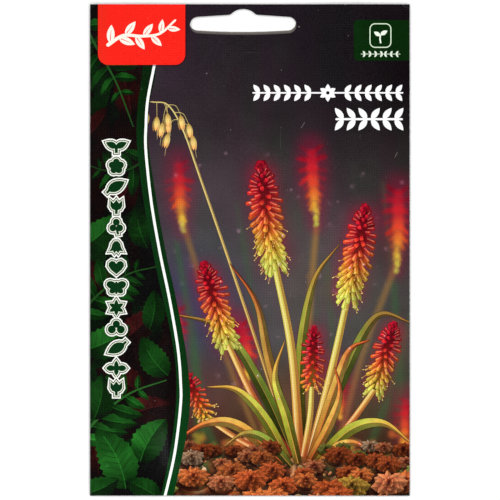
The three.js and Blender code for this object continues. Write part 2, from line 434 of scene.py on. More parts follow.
def stalk(ctrl, w0, w1, stops, n=22, seed=1):
    """A round stalk from ctrl's first point, lit from the left."""
    line = curve(ctrl, n)
    w = np.linspace(w0, w1, n)
    m = normals_of(line)
    put(stroke(line, w * 1.10), flat(70, 26, 16), 0.55)
    put(stroke(line, w), along(line[0], line[-1], stops, 0.03, seed))
    side = 1 if m[n // 2][0] < 0 else -1
    put(stroke(line - side * m * (w * 0.31)[:, None], w * 0.36), flat(110, 34, 18), 0.42)
    put(stroke(line + side * m * (w * 0.20)[:, None], w * 0.30), flat(255, 232, 150), 0.40)
    put(stroke(line + side * m * (w * 0.27)[:, None], w * 0.10), flat(255, 252, 224), 0.45)
    return line


def long_leaf(ctrl, width, stops, k=1.0, seed=1, n=26):
    """A long arching leaf with a keel: one half catches the light."""
    line = curve(ctrl, n)
    s = np.linspace(0, 1, n)
    m = normals_of(line)
    half = width / 2 * (0.72 + 0.5 * np.sin(np.pi * np.clip(s * 1.2, 0, 1))) * np.clip(1 - s, 0, 1) ** 0.55
    half[-1] = 0.03
    r = np.random.default_rng(seed)
    put(np.vstack([line + m * (half + 0.14)[:, None], (line - m * (half + 0.14)[:, None])[::-1]]), flat(34, 18, 12), 0.5)
    lit = 1 if m[n // 2] @ LIGHT > 0 else -1
    for side, b in ((lit, 1.0), (-lit, 0.58)):
        edge = line + side * m * half[:, None]
        put(np.vstack([line, edge[::-1]]), flecked(0.10, 1.3, seed + 5, along(line[0], line[int(n * 0.8)], [(f, np.minimum(255, arr(c) * b * k)) for f, c in stops], 0.05, seed)))
    for f in (0.36, 0.68):
        put(stroke(line[1:-3] + lit * m[1:-3] * (half[1:-3] * f)[:, None], 0.12), flat(*np.minimum(255, arr(stops[1][1]) * 1.25)), 0.34 * k)
    put(stroke(line[:-2], np.linspace(0.26, 0.10, n - 2)), flat(*np.minimum(255, arr(stops[-1][1]) * 1.15)), 0.6 * k)
    if r.random() < 0.6:
        i = int(r.integers(n // 3, n - 6))
        drop(line[i] + lit * m[i] * half[i] * 0.4, r.uniform(0.25, 0.42))


def far_spike(foot, head, width, r, k=1.0, blur=1.2, age=1.0):
    """A spike out of focus: a red haze, soft tubes, a warm middle."""
    line = curve([foot, (arr(foot) + arr(head)) / 2 + arr([r.normal(0, 0.5), 0]), head], 12)
    s = np.linspace(0, 1, 12)
    w = width * np.clip(np.sin(np.pi * np.clip(0.16 + 0.84 * (1 - s), 0, 1) ** 0.8), 0.14, 1)
    m = normals_of(line)
    soft_line(line, w + 3.0, (168, 18, 56), 3.4, 0.42 * k)
    for i in range(int(len(line) * 4.6)):
        f = r.uniform(0.0, 0.95)
        j = int(f * 11)
        way = unit(m[j] * r.choice([-1, 1]) * r.uniform(0.6, 1.0) + unit(line[j] - line[j + 1]) * np.interp(f, [0, 0.5, 0.8, 1], [1.7, 0.9, 0.1, -0.9]))
        c = ramp(arr([(1 - f) * age]), TUBE)[0]
        start = line[j] + way * w[j] * 0.15
        soft_line([start, start + way * w[j] * r.uniform(0.36, 0.60)], [0.9, 0.6], c * r.uniform(0.72, 1.0), 0.55 * blur, 0.62 * k)
    for j in range(0, 10, 2):
        c = ramp(arr([np.clip((1 - s[j + 1]) * age + 0.05, 0, 1)]), TUBE)[0]
        soft_line(line[j:j + 3], w[j:j + 3] * 0.46, c, 0.9 * blur, 0.72 * k)


def main_picture():
    r = np.random.default_rng(29)
    # out of focus: grass, stems and other spikes far behind
    for a, b, w, k in (((-14, -66), (-22, 2), 3.2, 0.62), ((-8, -66), (-25, -30), 2.6, 0.55), ((6, -66), (-4, 14), 2.0, 0.40), ((46, -74), (40, 20), 2.6, 0.50),
                       ((33, -66), (48, -20), 2.4, 0.5), ((24, -66), (23, -2), 2.2, 0.4)):
        soft_line(curve([a, ((a[0] + b[0]) / 2 + 1.5, (a[1] + b[1]) / 2), b], 6), [w, w * 0.95, w * 0.85, w * 0.7, w * 0.5, w * 0.3],
                  (54, 98, 56), 1.1, k)
    for a, b, c, w in (((4, -60), (-20, 8), (150, 112, 56), 1.6), ((18, -58), (20, 8), (166, 120, 60), 1.8), ((26, -60), (44, -4), (150, 110, 60), 1.8),
                       ((8, -60), (-1, -38), (150, 96, 50), 1.6), ((24, -62), (30, -52), (140, 90, 48), 1.6)):
        soft_line(curve([a, ((a[0] + b[0]) / 2 - 1.4, (a[1] + b[1]) / 2), b], 7), w, c, 0.8, 0.62)
    far_spike((-20, 6), (-21.6, 27), 6.0, r, 0.80, 1.3)
    far_spike((20, 8), (18.4, 31), 6.4, r, 0.95, 1.15)
    far_spike((44, -6), (44.6, 19), 7.0, r, 0.9, 1.3)
    far_spike((-1, -41), (-2.8, -21), 5.6, r, 0.85, 1.1)
    far_spike((27, -50), (25.6, -34), 5.0, r, 0.8, 1.2, 0.8)
    far_spike((46, -62), (46.8, -44), 4.8, r, 0.85, 1.1)
    far_spike((-22.5, -34), (-21.8, -17), 4.4, r, 0.7, 1.4, 0.8)
    # red haze and stray points of light round the spikes in focus
    for x0, y0, x1, y1, w in ((7, -2, 3.8, 22, 12), (29.5, -12, 34, 9, 12), (-7, -26, -13, -8, 11), (38, -40, 43, -25, 10), (18.5, -38, 19, -26, 9)):
        soft_line([(x0, y0), ((x0 + x1) / 2, (y0 + y1) / 2), (x1, y1)], w * 0.60, (160, 16, 50), w * 0.52, 0.46)
        soft_line([(x0, y0), ((x0 + x1) / 2, (y0 + y1) / 2), (x1, y1)], w * 0.62, (206, 26, 50), 2.6, 0.30)
    for _ in range(60):
        x, y = r.uniform(-24, 46), r.uniform(-46, 30)
        soft_line([(x, y), (x + 0.02, y + 0.02)], r.uniform(0.2, 0.9), (226, 166, 196), r.uniform(0.35, 0.7), r.uniform(0.2, 0.5))
    # soft rosettes behind the sharp ones
    for _ in range(230):
        x, y = r.uniform(-27, 48), r.uniform(-74, -53)
        if y > -56.0 + 1.6 * math.sin(x * 0.31):
            continue
        c = arr([(222, 116, 56), (186, 92, 46), (120, 54, 30), (238, 176, 120), (150, 130, 48), (44, 20, 14)][r.integers(6)])
        a = r.uniform(0, np.pi)
        soft_line([(x, y), (x + 1.8 * math.cos(a), y + 1.8 * math.sin(a))], r.uniform(0.6, 2.0), c, 0.75, r.uniform(0.4, 0.85))

    # an oat stalk that nods at its tip, with its husks hanging
    oat = curve([(12, -60), (4, -34), (-6, -4), (-15, 22), (-20, 36), (-24.5, 43.5), (-29.5, 44.5)], 44)
    put(stroke(oat, np.linspace(1.0, 0.34, 44)), along((12, -60), (-21, 41), [(0, (150, 96, 44)), (0.4, (196, 158, 76)), (1, (206, 188, 112))]))
    put(stroke(oat[2:-2] + normals_of(oat)[2:-2] * 0.12, 0.16), flat(252, 234, 170), 0.6)
    put(stroke(oat[2:-2] - normals_of(oat)[2:-2] * 0.20, 0.16), flat(60, 30, 20), 0.45)
    for i, (f, out, fall) in enumerate(((0.70, 3.6, 3.4), (0.74, -3.0, 4.0), (0.78, 4.2, 3.2), (0.82, -2.2, 4.6), (0.86, 3.8, 3.0), (0.90, 1.4, 4.6), (0.94, 2.6, 3.2), (0.97, 0.2, 4.2), (1.0, -1.4, 2.8))):
        p = oat[min(43, int(f * 43))]
        end = p + arr([out, -fall])
        thread = curve([p, p + arr([out * 0.62, -fall * 0.10]), end], 7)
        put(stroke(thread, np.linspace(0.22, 0.14, 7)), flat(204, 182, 110), 0.95)
        turn = -96 + out * 3.0
        for way, wide, tone in ((turn - 9, 1.5, 0.70), (turn + 9, 1.5, 0.96), (turn, 1.2, 1.12)):
            d = polar((0, 0), 1.0, way)
            put(leaf_outline(end + d * 2.3, 4.8, wide, way, 14), along(end, end + d * 4.8, [(0, arr((150, 118, 58)) * tone), (0.5, arr((222, 194, 116)) * tone), (1, arr((226, 150, 84)) * tone)]))
        d = polar((0, 0), 1.0, turn + 6)
        put(stroke([end + d * 4.4, end + d * 7.0], [0.13, 0.07]), flat(238, 214, 150), 0.8)

    lime = [(0, (96, 66, 26)), (0.35, (150, 152, 48)), (0.75, (204, 206, 84)), (1, (222, 160, 74))]
    gold = [(0, (120, 58, 26)), (0.35, (206, 146, 60)), (0.75, (232, 190, 92)), (1, (214, 96, 52))]
    moss_green = [(0, (70, 58, 24)), (0.35, (104, 124, 42)), (0.75, (164, 180, 74)), (1, (196, 140, 70))]
    stem = [(0, (176, 84, 42)), (0.22, (206, 150, 66)), (0.6, (214, 196, 92)), (1, (204, 200, 88))]
    rose = [(0, (150, 50, 36)), (0.35, (206, 104, 62)), (0.75, (220, 160, 80)), (1, (212, 190, 86))]
    # leaves behind the stalks
    long_leaf([(13, -62), (4, -42), (-8, -24), (-23.5, -19)], 3.4, moss_green, 0.8, 3)
    long_leaf([(19, -62), (28, -38), (38, -20), (49, -22)], 3.4, moss_green, 0.8, 5)
    long_leaf([(16, -62), (15, -34), (19, -10), (27, 2)], 3.0, lime, 0.78, 7)
    long_leaf([(14, -62), (6, -34), (2, -16), (-6, -4)], 2.8, gold, 0.8, 9)
    # stalks and spikes, the far ones first
    stalk([(21, -62), (30, -52), (38, -41)], 2.2, 1.5, rose, seed=10)
    spike((37.6, -42), (43.2, -22.5), 7.6, 41, 0.95)
    stalk([(18, -62), (24.5, -36), (29.6, -13)], 2.7, 1.8, stem, seed=8)
    spike((29.3, -14.5), (34.6, 12.5), 9.2, 37, 1.0, bend=0.5)
    long_leaf([(18, -63), (26, -40), (30, -30), (36, -27)], 3.0, gold, 0.95, 11)
    stalk([(15, -62), (12.5, -30), (7.2, -3)], 2.8, 1.9, stem, seed=6)
    spike((7.5, -4.5), (3.4, 25.5), 9.8, 23, 1.0, bend=-0.6)
    stalk([(12, -62), (1.5, -45), (-7.2, -27)], 2.4, 1.6, rose, seed=4)
    spike((-6.8, -28), (-13.8, -4.5), 8.6, 11, 1.0)
    long_leaf([(11.5, -63), (4, -50), (-4, -42), (-13, -41)], 3.2, lime, 1.0, 13)
    stalk([(16, -62), (18, -50), (18.6, -40)], 2.0, 1.4, stem, seed=12)
    spike((18.6, -41), (19.2, -23.5), 6.4, 53, 0.62)
    stalk([(10.5, -63), (-2, -57.5), (-13.5, -50)], 1.9, 1.3, rose, seed=14)
    spike((-13, -50.5), (-19.4, -36.5), 5.8, 67, 0.80)
    # leaves in front
    long_leaf([(10, -64), (-3, -53), (-13, -52), (-23.5, -58)], 3.4, gold, 1.0, 15)
    long_leaf([(19.5, -64), (30, -54), (40, -52), (48.5, -58)], 3.6, lime, 1.02, 17)
    long_leaf([(14.5, -64), (11, -50), (7.5, -38), (10.5, -27)], 3.0, lime, 1.05, 19)
    long_leaf([(17.5, -64), (24, -52), (27, -43), (25.5, -35)], 2.8, gold, 1.02, 21)
    long_leaf([(12.5, -65), (5, -57), (-1.5, -55), (-8, -59)], 2.8, moss_green, 1.0, 23)
    long_leaf([(20, -65), (26, -59), (32, -58), (37, -62)], 2.6, gold, 0.98, 25)


def leaflet(base, angle, long, wide, hook, low, high, k):
    """A small pointed leaf, keeled along its middle: one side lit, one in shade."""
    d = polar((0, 0), 1.0, angle)
    m = arr([-d[1], d[0]])
    tip = base + d * long + m * hook
    keel = base + d * long * 0.5 + m * hook * 0.22
    lit = 1 if m @ LIGHT > 0 else -1
    for side in (1, -1):
        edge = arr([base + side * m * wide * 0.24, base + d * long * 0.34 + m * (side * wide * 0.46 + hook * 0.08),
                    base + d * long * 0.70 + m * (side * wide * 0.44 + hook * 0.42), tip, keel, base])
        b = k * (1.06 if side == lit else 0.72)
        put(edge, along(base, tip, [(0, np.minimum(255, low * b * 0.55)), (0.45, np.minimum(255, (low * 0.6 + high * 0.4) * b)),
                                    (0.85, np.minimum(255, high * b)), (1, np.minimum(255, high * b * 1.14))], 0.06, 7))


def rosette(x, y, size, low, high, k, r):
    """A houseleek seen from the side and above: three rings of pointed leaves."""
    put(disc((x, y - size * 0.14), size * 0.98, 10, ry=size * 0.62), flat(26, 10, 8), 0.62)
    first = r.uniform(0, 40)
    rings = ((11, 1.0, 0.58, 0.0), (8, 0.76, 0.54, 0.10), (5, 0.50, 0.46, 0.20), (3, 0.28, 0.32, 0.28))
    if size < 3.8:
        rings = ((9, 1.0, 0.64, 0.0), (6, 0.70, 0.58, 0.12), (3, 0.38, 0.46, 0.24))
    for ring, (n, reach, wide, lift_) in enumerate(rings):
        leaves = []
        for i in range(n):
            a = first + 360 * i / n + 19 * ring + r.normal(0, 5)
            d = arr([math.cos(math.radians(a)), 0.62 * math.sin(math.radians(a)) + 0.16])
            leaves.append((math.sin(math.radians(a)), d))
        for back, d in sorted(leaves, key=lambda q: -q[0]):
            long = float(np.hypot(*d)) * reach * size * r.uniform(0.92, 1.08)
            way = unit(d)
            base = arr([x, y + lift_ * size]) + way * long * 0.10
            shade = k * (0.84 + 0.14 * ring / 3 + 0.12 * float(way @ LIGHT)) * r.uniform(0.94, 1.06)
            leaflet(base, math.degrees(math.atan2(way[1], way[0])), long * 0.92, wide * size * (0.7 + 0.3 * abs(float(d[0]))), 0.0, low, high, shade)


def bed():
    """The ground: houseleeks in warm colours among small stones."""
    r = np.random.default_rng(83)
    stones = []
    for _ in range(130):
        x, y = r.uniform(-27, 49), r.uniform(-75, -59)
        if y > -60.5 + 1.2 * math.sin(x * 0.31):
            continue
        stones.append((x, y, r.uniform(0.35, 1.25) * (0.8 + 0.5 * float(step(-60, -73, y)))))
    tones = [arr((170, 104, 66)), arr((206, 132, 84)), arr((120, 70, 46)), arr((226, 176, 134)), arr((96, 60, 44)), arr((150, 118, 74))]
    for x, y, size in sorted(stones, key=lambda q: -q[1]):
        hue = tones[r.integers(len(tones))] * r.uniform(0.7, 1.0)
        poly = disc((x, y), size, 8, ry=size * r.uniform(0.55, 0.85), turn=r.uniform(0, 180))
        put(poly + arr([0.08, -0.16]), flat(26, 12, 10), 0.7)
        put(poly, along((x + size * 0.3, y - size), (x - size * 0.3, y + size), [(0, hue * 0.42), (0.55, hue), (1, np.minimum(255, hue * 1.28))]))
    hues = [(arr((132, 44, 26)), arr((238, 130, 66))), (arr((116, 40, 24)), arr((220, 104, 52))), (arr((134, 70, 42)), arr((252, 206, 164))),
            (arr((104, 60, 26)), arr((204, 160, 64))), (arr((84, 78, 30)), arr((178, 182, 84))), (arr((150, 50, 34)), arr((244, 150, 96)))]
    plants = []
    y = -60.4
    while y > -77.5:
        size = 3.1 + 0.17 * (-60.4 - y)
        x = -28 + r.uniform(0, 3)
        while x < 50:
            here = size * r.uniform(0.70, 1.22)
            if r.random() < 0.86:
                plants.append((x + r.normal(0, 0.35) * size, y + r.normal(0, 0.30) * size, here, int(r.choice([0, 0, 0, 1, 1, 1, 1, 2, 3, 5, 5, 5, 5, 4]))))
            x += size * r.uniform(1.25, 1.85)
        y -= size * 0.98
    for x, y, size, kind in sorted(plants, key=lambda q: -q[1]):
        if y > -62 and 8 < x < 22:
            continue
        low, high = hues[kind]
        tint = r.uniform(0.90, 1.08)
        rosette(x, y, size, low * tint, np.minimum(255, high * tint), 0.64 + 0.26 * float(step(-60, -72, y)), r)


# -- the band on the left: dark leaves in two inks
WHITE_LINE = curve([(-24.4, 76.5), (-28.7, 55.4), (-30.7, 44.9), (-31.2, 37.4), (-31.25, 29.9), (-29.65, 14.8), (-27.1, -0.2),
                    (-24.0, -15.2), (-21.5, -30.2), (-20.7, -41.0), (-20.75, -46.0), (-21.6, -54.3), (-23.0, -63.3), (-26.0, -76.0)], 90)


def band_colour(p):
    c = ramp(0.5 + 0.5 * noise(p, 10.0, 61), [(0, (11, 5, 6)), (0.5, (24, 12, 13)), (0.75, (17, 16, 11)), (1, (8, 28, 11))])
    return c * (1 + 0.16 * noise(p, 2.3, 62) + 0.10 * noise(p, 1.0, 63))[:, None]


GREEN = ((13, 36, 12), (34, 97, 33), (27, 78, 26), (16, 50, 16))
WINE = ((20, 8, 8), (62, 23, 23), (48, 17, 18), (26, 10, 10))


def toothed(c, long, wide, turn, curl, k, seed, teeth=9, veins=5, hue=GREEN):
    """A broad leaf with a toothed rim: one side of its midrib lit, one in shade."""
    n = 2 * teeth
    s = np.linspace(0, 1, n)
    saw = 1 + 0.15 * (np.arange(n) % 2)
    half = wide / 2 * np.sin(np.pi * s**0.78) ** 0.72 * saw
    half[0] = half[-1] = 0.03
    x = (s - 0.5) * long
    bend = curl * long * (s - 0.4) ** 2
    spine = np.stack([x, bend], -1)[::3]
    a, b = moved([(-long / 2, 0), (long / 2, 0)], c[0], c[1], 1, turn)
    for side in (1, -1):
        rim_side = np.stack([x, side * half + bend], -1)
        leaf = moved(np.vstack([rim_side, spine[::-1]]), c[0], c[1], 1, turn)
        up = moved([(0, side)], turn=turn)[0] @ LIGHT
        q = k * (0.86 + 0.30 * up)
        put(leaf, flecked(0.16, 1.1, seed, flecked(0.12, 3.0, seed + 1, along(a, b, [(f, arr(h) * q) for f, h in zip((0, 0.4, 0.8, 1), hue)]))))
        for j in range(veins):
            f = 0.14 + 0.66 * j / veins
            i = int(f * (n - 1))
            p = arr([x[i], bend[i]])
            q2 = arr([x[i] + long * 0.13, bend[i] + side * half[min(n - 1, i + 3)] * 0.74])
            put(moved(stroke([p, q2], [0.24, 0.10]), c[0], c[1], 1, turn), flat(*(arr(hue[0]) * 0.7)), 0.42)
    put(moved(stroke(spine[:-1], 0.26), c[0], c[1], 1, turn), flat(*np.minimum(255, arr(hue[1]) * 1.6)), 0.42 * k)


def frond(ctrl, size, pairs, seed, k=1.0):
    r = np.random.default_rng(seed)
    line = curve(ctrl, pairs * 2 + 4)
    m = normals_of(line)
    for j in range(pairs):
        i = 1 + 2 * j
        f = j / pairs
        d = unit(line[i + 1] - line[i])
        long = size * (0.55 + 0.75 * math.sin(math.pi * min(1.0, f * 0.9 + 0.15))) * (1 - 0.55 * f)
        for side in (-1, 1):
            way = unit(m[i] * side + d * 0.55)
            turn = math.degrees(math.atan2(way[1], way[0])) + r.normal(0, 4)
            toothed(line[i] + way * long * 0.5, long, long * 0.36, turn, -side * 0.16, k * r.uniform(0.72, 1.1), seed + j, 5, 0)
    put(stroke(line, np.linspace(size * 0.09, size * 0.03, len(line))), flat(*(arr((44, 96, 40)) * k)))


def band():
    region = np.vstack([WHITE_LINE, [(-50, -76.0), (-50, 76.5)]])
    put(region, band_colour)
    # far ones, almost lost in the dark
    for c, long, wide, turn, curl, k in (((-43, 44), 20, 9, 70, 0.2, 0.30), ((-36, 12), 18, 9, 118, -0.2, 0.28), ((-45, -6), 19, 9, 60, 0.2, 0.34),
                                         ((-31, -22), 18, 8, 100, 0.3, 0.30), ((-44, -38), 20, 10, 84, -0.2, 0.32), ((-33, -60), 20, 9, 50, 0.2, 0.36), ((-38, 68), 16, 8, 20, 0.1, 0.26)):
        toothed(c, long, wide, turn, curl, k, 201, 8, 4)
    for c, long, wide, turn, curl, k in (((-36.5, 47), 15, 8, 100, 0.3, 0.80), ((-46, 37), 14, 7, 50, 0.2, 0.7), ((-37.5, 17), 14, 7.5, 70, -0.3, 0.75), ((-46, -8), 12, 7, 110, 0.2, 0.8),
                                         ((-33.5, -23.5), 15, 8, 40, 0.3, 0.85), ((-38.5, -39), 17, 8.6, 150, 0.2, 0.8), ((-30.5, -47.5), 14, 7.6, 20, -0.3, 0.9), ((-46.2, -60.5), 14, 7, 100, 0.2, 0.8)):
        toothed(c, long, wide, turn, curl, k, 203, 8, 4, WINE)
    frond([(-51, 70), (-45, 59), (-40, 50), (-35, 37)], 10.5, 6, 101, 0.82)
    frond([(-30, 28), (-37, 24), (-44, 24), (-52, 27)], 8.5, 5, 102, 0.60)
    toothed((-45, 4.5), 15, 8.2, 38, 0.30, 0.80, 210)
    toothed((-33.2, 6.5), 13, 6.6, 108, -0.25, 0.55, 211)
    frond([(-52, -20), (-44, -12), (-36, -7), (-28, -5)], 9.5, 6, 104, 0.74)
    toothed((-28.6, -18), 12, 6.4, 80, 0.25, 0.62, 213)
    toothed((-42.5, -27.5), 16, 8.6, 24, 0.28, 0.92, 214)
    toothed((-29.4, -32.5), 14, 7.6, 128, -0.3, 0.80, 215)
    frond([(-52, -58), (-45, -50), (-36, -43), (-25, -39)], 11.0, 6, 105, 0.98)
    toothed((-44.6, -44.4), 14, 7.8, 76, 0.3, 0.70, 216)
    toothed((-40.0, -62.0), 20, 10.6, 112, 0.34, 1.12, 217, 11, 7)
    toothed((-30.0, -56.5), 15, 9.0, 62, -0.3, 1.04, 218, 9, 6)
    toothed((-45.5, -72.0), 14, 7.0, 20, 0.2, 0.74, 219)
    toothed((-32.0, -71.5), 12, 6.2, 150, 0.2, 0.66, 220)
    # green edging on both sides of the white line
    inner = curve([(-31.6, 76.5), (-32.2, 55.0), (-33.6, 44.0), (-34.0, 33.0), (-32.4, 18.0), (-29.8, 3.0), (-26.9, -11.0),
                   (-23.9, -24.0), (-22.3, -34.0), (-22.0, -43.0), (-22.7, -52.0), (-24.2, -62.0), (-27.2, -76.0)], 60)
    outer = curve([(-28.3, 76.5), (-28.1, 55.4), (-30.0, 44.9), (-30.6, 37.4), (-30.3, 29.9), (-28.0, 14.8), (-25.3, -0.2),
                   (-22.0, -15.2), (-19.2, -30.2), (-18.0, -41.0), (-17.9, -46.0), (-18.8, -54.3), (-20.6, -63.3), (-23.5, -76.0)], 60)
    put(np.vstack([outer, inner[::-1]]), flecked(0.05, 3.0, 71, along((-34, 0), (-18, 4), [(0, (8, 60, 24)), (0.6, (4, 44, 18)), (1, (3, 34, 14))])))
    put(stroke(WHITE_LINE, 0.80), flat(252, 254, 250))


def leaf_outline(c, length, width, turn, n=18):
    s = np.linspace(0, 1, n // 2 + 1)
    half = width / 2 * np.sin(np.pi * s**0.85) ** 0.85
    x = (s - 0.5) * length
    top = np.stack([x, half], -1)
    low = np.stack([x, -half], -1)[::-1][1:-1]
    return moved(np.vstack([top, low]), c[0], c[1], 1, turn)


def grown(poly, d):
    """A polygon with its edges moved out by d."""
    p = arr(poly)
    nxt, prv = np.roll(p, -1, axis=0), np.roll(p, 1, axis=0)
    area = float((p[:, 0] * nxt[:, 1] - nxt[:, 0] * p[:, 1]).sum())
    sign = 1 if area > 0 else -1

    def out(a, b):
        e = b - a
        e /= np.maximum(np.hypot(e[:, 0], e[:, 1])[:, None], 1e-9)
        return np.stack([e[:, 1], -e[:, 0]], -1) * sign

    n1, n2 = out(prv, p), out(p, nxt)
    m = n1 + n2
    m /= np.maximum(np.hypot(m[:, 0], m[:, 1])[:, None], 1e-9)
    k = 1 / np.maximum((m * n1).sum(1), 0.62)
    return p + m * (d * k)[:, None]


# -- a column of plant signs in double outline, where a line of lettering would run
def sign_shapes():
    """Each sign as outlines about 5.8 wide and 4.2 high round 0,0."""
    turned = lambda p, a: moved(p, turn=a)
    flower = [disc(polar((0, 0), 1.32, a + 90), 0.98, 12) for a in range(0, 360, 72)] + [disc((0, 0), 1.2, 12)]
    pair = [leaf_outline((1.45, 0.35), 3.5, 1.9, 24, 14), leaf_outline((-1.45, 0.35), 3.5, 1.9, 156, 14), stroke([(0, -2.0), (0, 0.4)], 0.8)]
    leaf = [leaf_outline((0, 0.1), 5.6, 2.9, 28, 18), stroke([(-2.3, -1.3), (-2.9, -1.9)], 0.6)]
    clover = [disc(polar((0, 0.25), 1.15, a + 90), 1.0, 12) for a in (0, 120, 240)] + [stroke([(0, 0), (0.5, -2.2)], [0.7, 0.6])]
    tulip = [arr([(-1.75, 1.9), (-1.75, 0.2), (-1.2, -0.7), (0, -1.15), (1.2, -0.7), (1.75, 0.2), (1.75, 1.9), (0.85, 0.9), (0, 2.0), (-0.85, 0.9)]), stroke([(0, -0.9), (0, -2.1)], 0.7)]
    moth = [disc((1.45, 0.7), 1.5, 14, ry=1.1, turn=25), disc((-1.45, 0.7), 1.5, 14, ry=1.1, turn=-25), disc((1.1, -0.95), 1.0, 12, ry=0.8, turn=-30),
            disc((-1.1, -0.95), 1.0, 12, ry=0.8, turn=30), stroke([(0, 1.4), (0, -1.7)], 0.6, cap=3)]
    bell = [arr([(-0.5, 1.7), (0.5, 1.7), (1.15, 0.9), (1.45, -0.3), (2.1, -1.3), (1.05, -1.0), (0.55, -1.75), (0, -1.05), (-0.55, -1.75), (-1.05, -1.0), (-2.1, -1.3), (-1.45, -0.3), (-1.15, 0.9)])]
    heart = [arr([(0, -2.0), (1.5, -0.8), (2.3, 0.4), (2.15, 1.3), (1.4, 1.85), (0.55, 1.65), (0, 0.95), (-0.55, 1.65), (-1.4, 1.85), (-2.15, 1.3), (-2.3, 0.4), (-1.5, -0.8)])]
    berry = [disc((-1.35, -0.5), 1.15, 14), disc((1.35, -0.5), 1.15, 14), disc((0, 1.1), 1.05, 14), stroke([(-1.3, 0), (0, 1.2), (1.3, 0)], 0.5)]
    star = [leaf_outline(polar((0, 0), 1.15, a + 90), 2.4, 1.15, a + 90, 12) for a in range(0, 360, 60)] + [disc((0, 0), 0.8, 10)]
    snail = [leaf_outline((-1.5, 0.0), 3.0, 1.7, 0, 12), leaf_outline((1.5, 0.0), 3.0, 1.7, 180, 12), leaf_outline((0, 1.0), 2.4, 1.3, 90, 12), leaf_outline((0, -1.0), 2.4, 1.3, 270, 12)]
    return [pair, flower, leaf, tulip, clover, bell, heart, moth, star, berry, [turned(q, 180) for q in leaf], snail, tulip]


def sign_column():
    cx, y = -40.1, 31.2
    for k, sign in enumerate(sign_shapes()):
        for grow, colour in ((0.98, (250, 252, 244)), (0.60, (10, 30, 14)), (0.36, (226, 232, 212)), (0.06, (14, 52, 24))):
            for poly in sign:
                put(moved(grown(poly, grow), cx, y), flat(*colour))
        y -= 6.06


# -- pictograms for round fields: as tall as 1, with their middle at 0,0
def icon_sun(ink, hole=None):
    ink(disc((0, 0), 0.23, 18))
    for a in range(0, 360, 45):
        ink(stroke(arr([polar((0, 0), 0.32, a), polar((0, 0), 0.49, a)]), [0.13, 0.09]))


def icon_drop(ink, hole):
    ink(np.vstack([polar((0, -0.16), 0.31, np.linspace(-210, 30, 20)), [(0.17, 0.20), (0, 0.50), (-0.17, 0.20)]]))
    hole(stroke(polar((0, -0.16), 0.18, [190, 220, 250, 275]), 0.075))


def icon_pot(ink, hole):
    ink(arr([(-0.30, -0.06), (-0.21, -0.50), (0.21, -0.50), (0.30, -0.06)]))
    hole(box(-0.40, -0.085, 0.40, -0.055))
    ink(box(-0.37, -0.06, 0.37, 0.06, 0.03, 2))
    ink(stroke([(0, 0.05), (0, 0.30)], 0.08))
    ink(leaf_outline((0.17, 0.34), 0.40, 0.21, 38, 12))
    ink(leaf_outline((-0.17, 0.27), 0.38, 0.20, 144, 12))


def icon_thermometer(ink, hole):
    ink(stroke([(0, -0.30), (0, 0.42)], 0.22, cap=6))
    ink(disc((0, -0.31), 0.20, 18))
    hole(stroke([(0, -0.05), (0, 0.40)], 0.09, cap=3))
    for y in (0.05, 0.19, 0.33):
        ink(stroke([(0.17, y), (0.31, y)], 0.06))


def icon_sprout(ink, hole=None):
    ink(stroke(curve([(0.02, -0.50), (-0.03, -0.2), (0.0, 0.06)], 6), 0.10))
    ink(leaf_outline((0.235, 0.20), 0.54, 0.29, 30, 16))
    ink(leaf_outline((-0.225, 0.13), 0.50, 0.27, 148, 16))


def pictogram(kind, x, y, size, colour, under, area="front", alpha=1.0, wide=1.0):
    def at(p):
        return moved(arr(p) * arr([wide, 1]), x, y, size)

    kind(lambda p: put(at(p), flat(*colour), alpha, area), lambda p: put(at(p), under, alpha, area))


def sprig(ctrl, w0, w1, leaves, size, wide, colour, under):
    """A stem with leaves to both sides."""
    line = curve(ctrl, 30)
    put(stroke(line, np.linspace(w0, w1, 30), cap=3), flat(*colour))
    for k in range(leaves):
        f = 0.06 + 0.86 * k / (leaves - 1)
        i = int(f * 28)
        p, d = line[i], unit(line[i + 1] - line[i])
        way = moved([d], turn=(-1) ** k * 50)[0]
        long = size * (1.05 - 0.35 * f)
        c = p + way * long * 0.52
        put(leaf_outline(c, long, wide * (1.05 - 0.35 * f), math.degrees(math.atan2(way[1], way[0])), 16), flat(*colour))
        put(stroke([c - way * long * 0.36, c + way * long * 0.20], [0.26, 0.10]), under)


def garland(x0, x1, y, tall, pairs, colour, middle=False):
    """A straight row of paired leaves on a stem, both halves pointing away from its middle."""
    put(stroke([(x0 + tall * 0.1, y), (x1 - tall * 0.1, y)], tall * 0.085, cap=2), flat(*colour))
    pitch = (x1 - x0) / (pairs + (1 if middle else 0))
    centre = (x0 + x1) / 2
    for k in range(pairs + (1 if middle else 0)):
        x = x0 + pitch * (k + 0.5)
        if middle and abs(x - centre) < pitch * 0.3:
            for turn in range(0, 360, 60):
                put(leaf_outline(polar((centre, y), tall * 0.25, turn + 30), tall * 0.46, tall * 0.27, turn + 30, 14), flat(*colour))
            put(disc((centre, y), tall * 0.10, 10), ground)
            continue
        if middle and pairs % 2 == 0 and abs(x - centre) < pitch * 1.3:
            continue
        way = 1 if x > centre else -1
        for up in (1, -1):
            turn = (52 if way > 0 else 128) * up
            c = polar((x - way * pitch * 0.34, y), tall * 0.29, turn)
            put(leaf_outline(c, tall * 0.55, min(tall * 0.27, pitch * 0.52), turn, 16), flat(*colour))


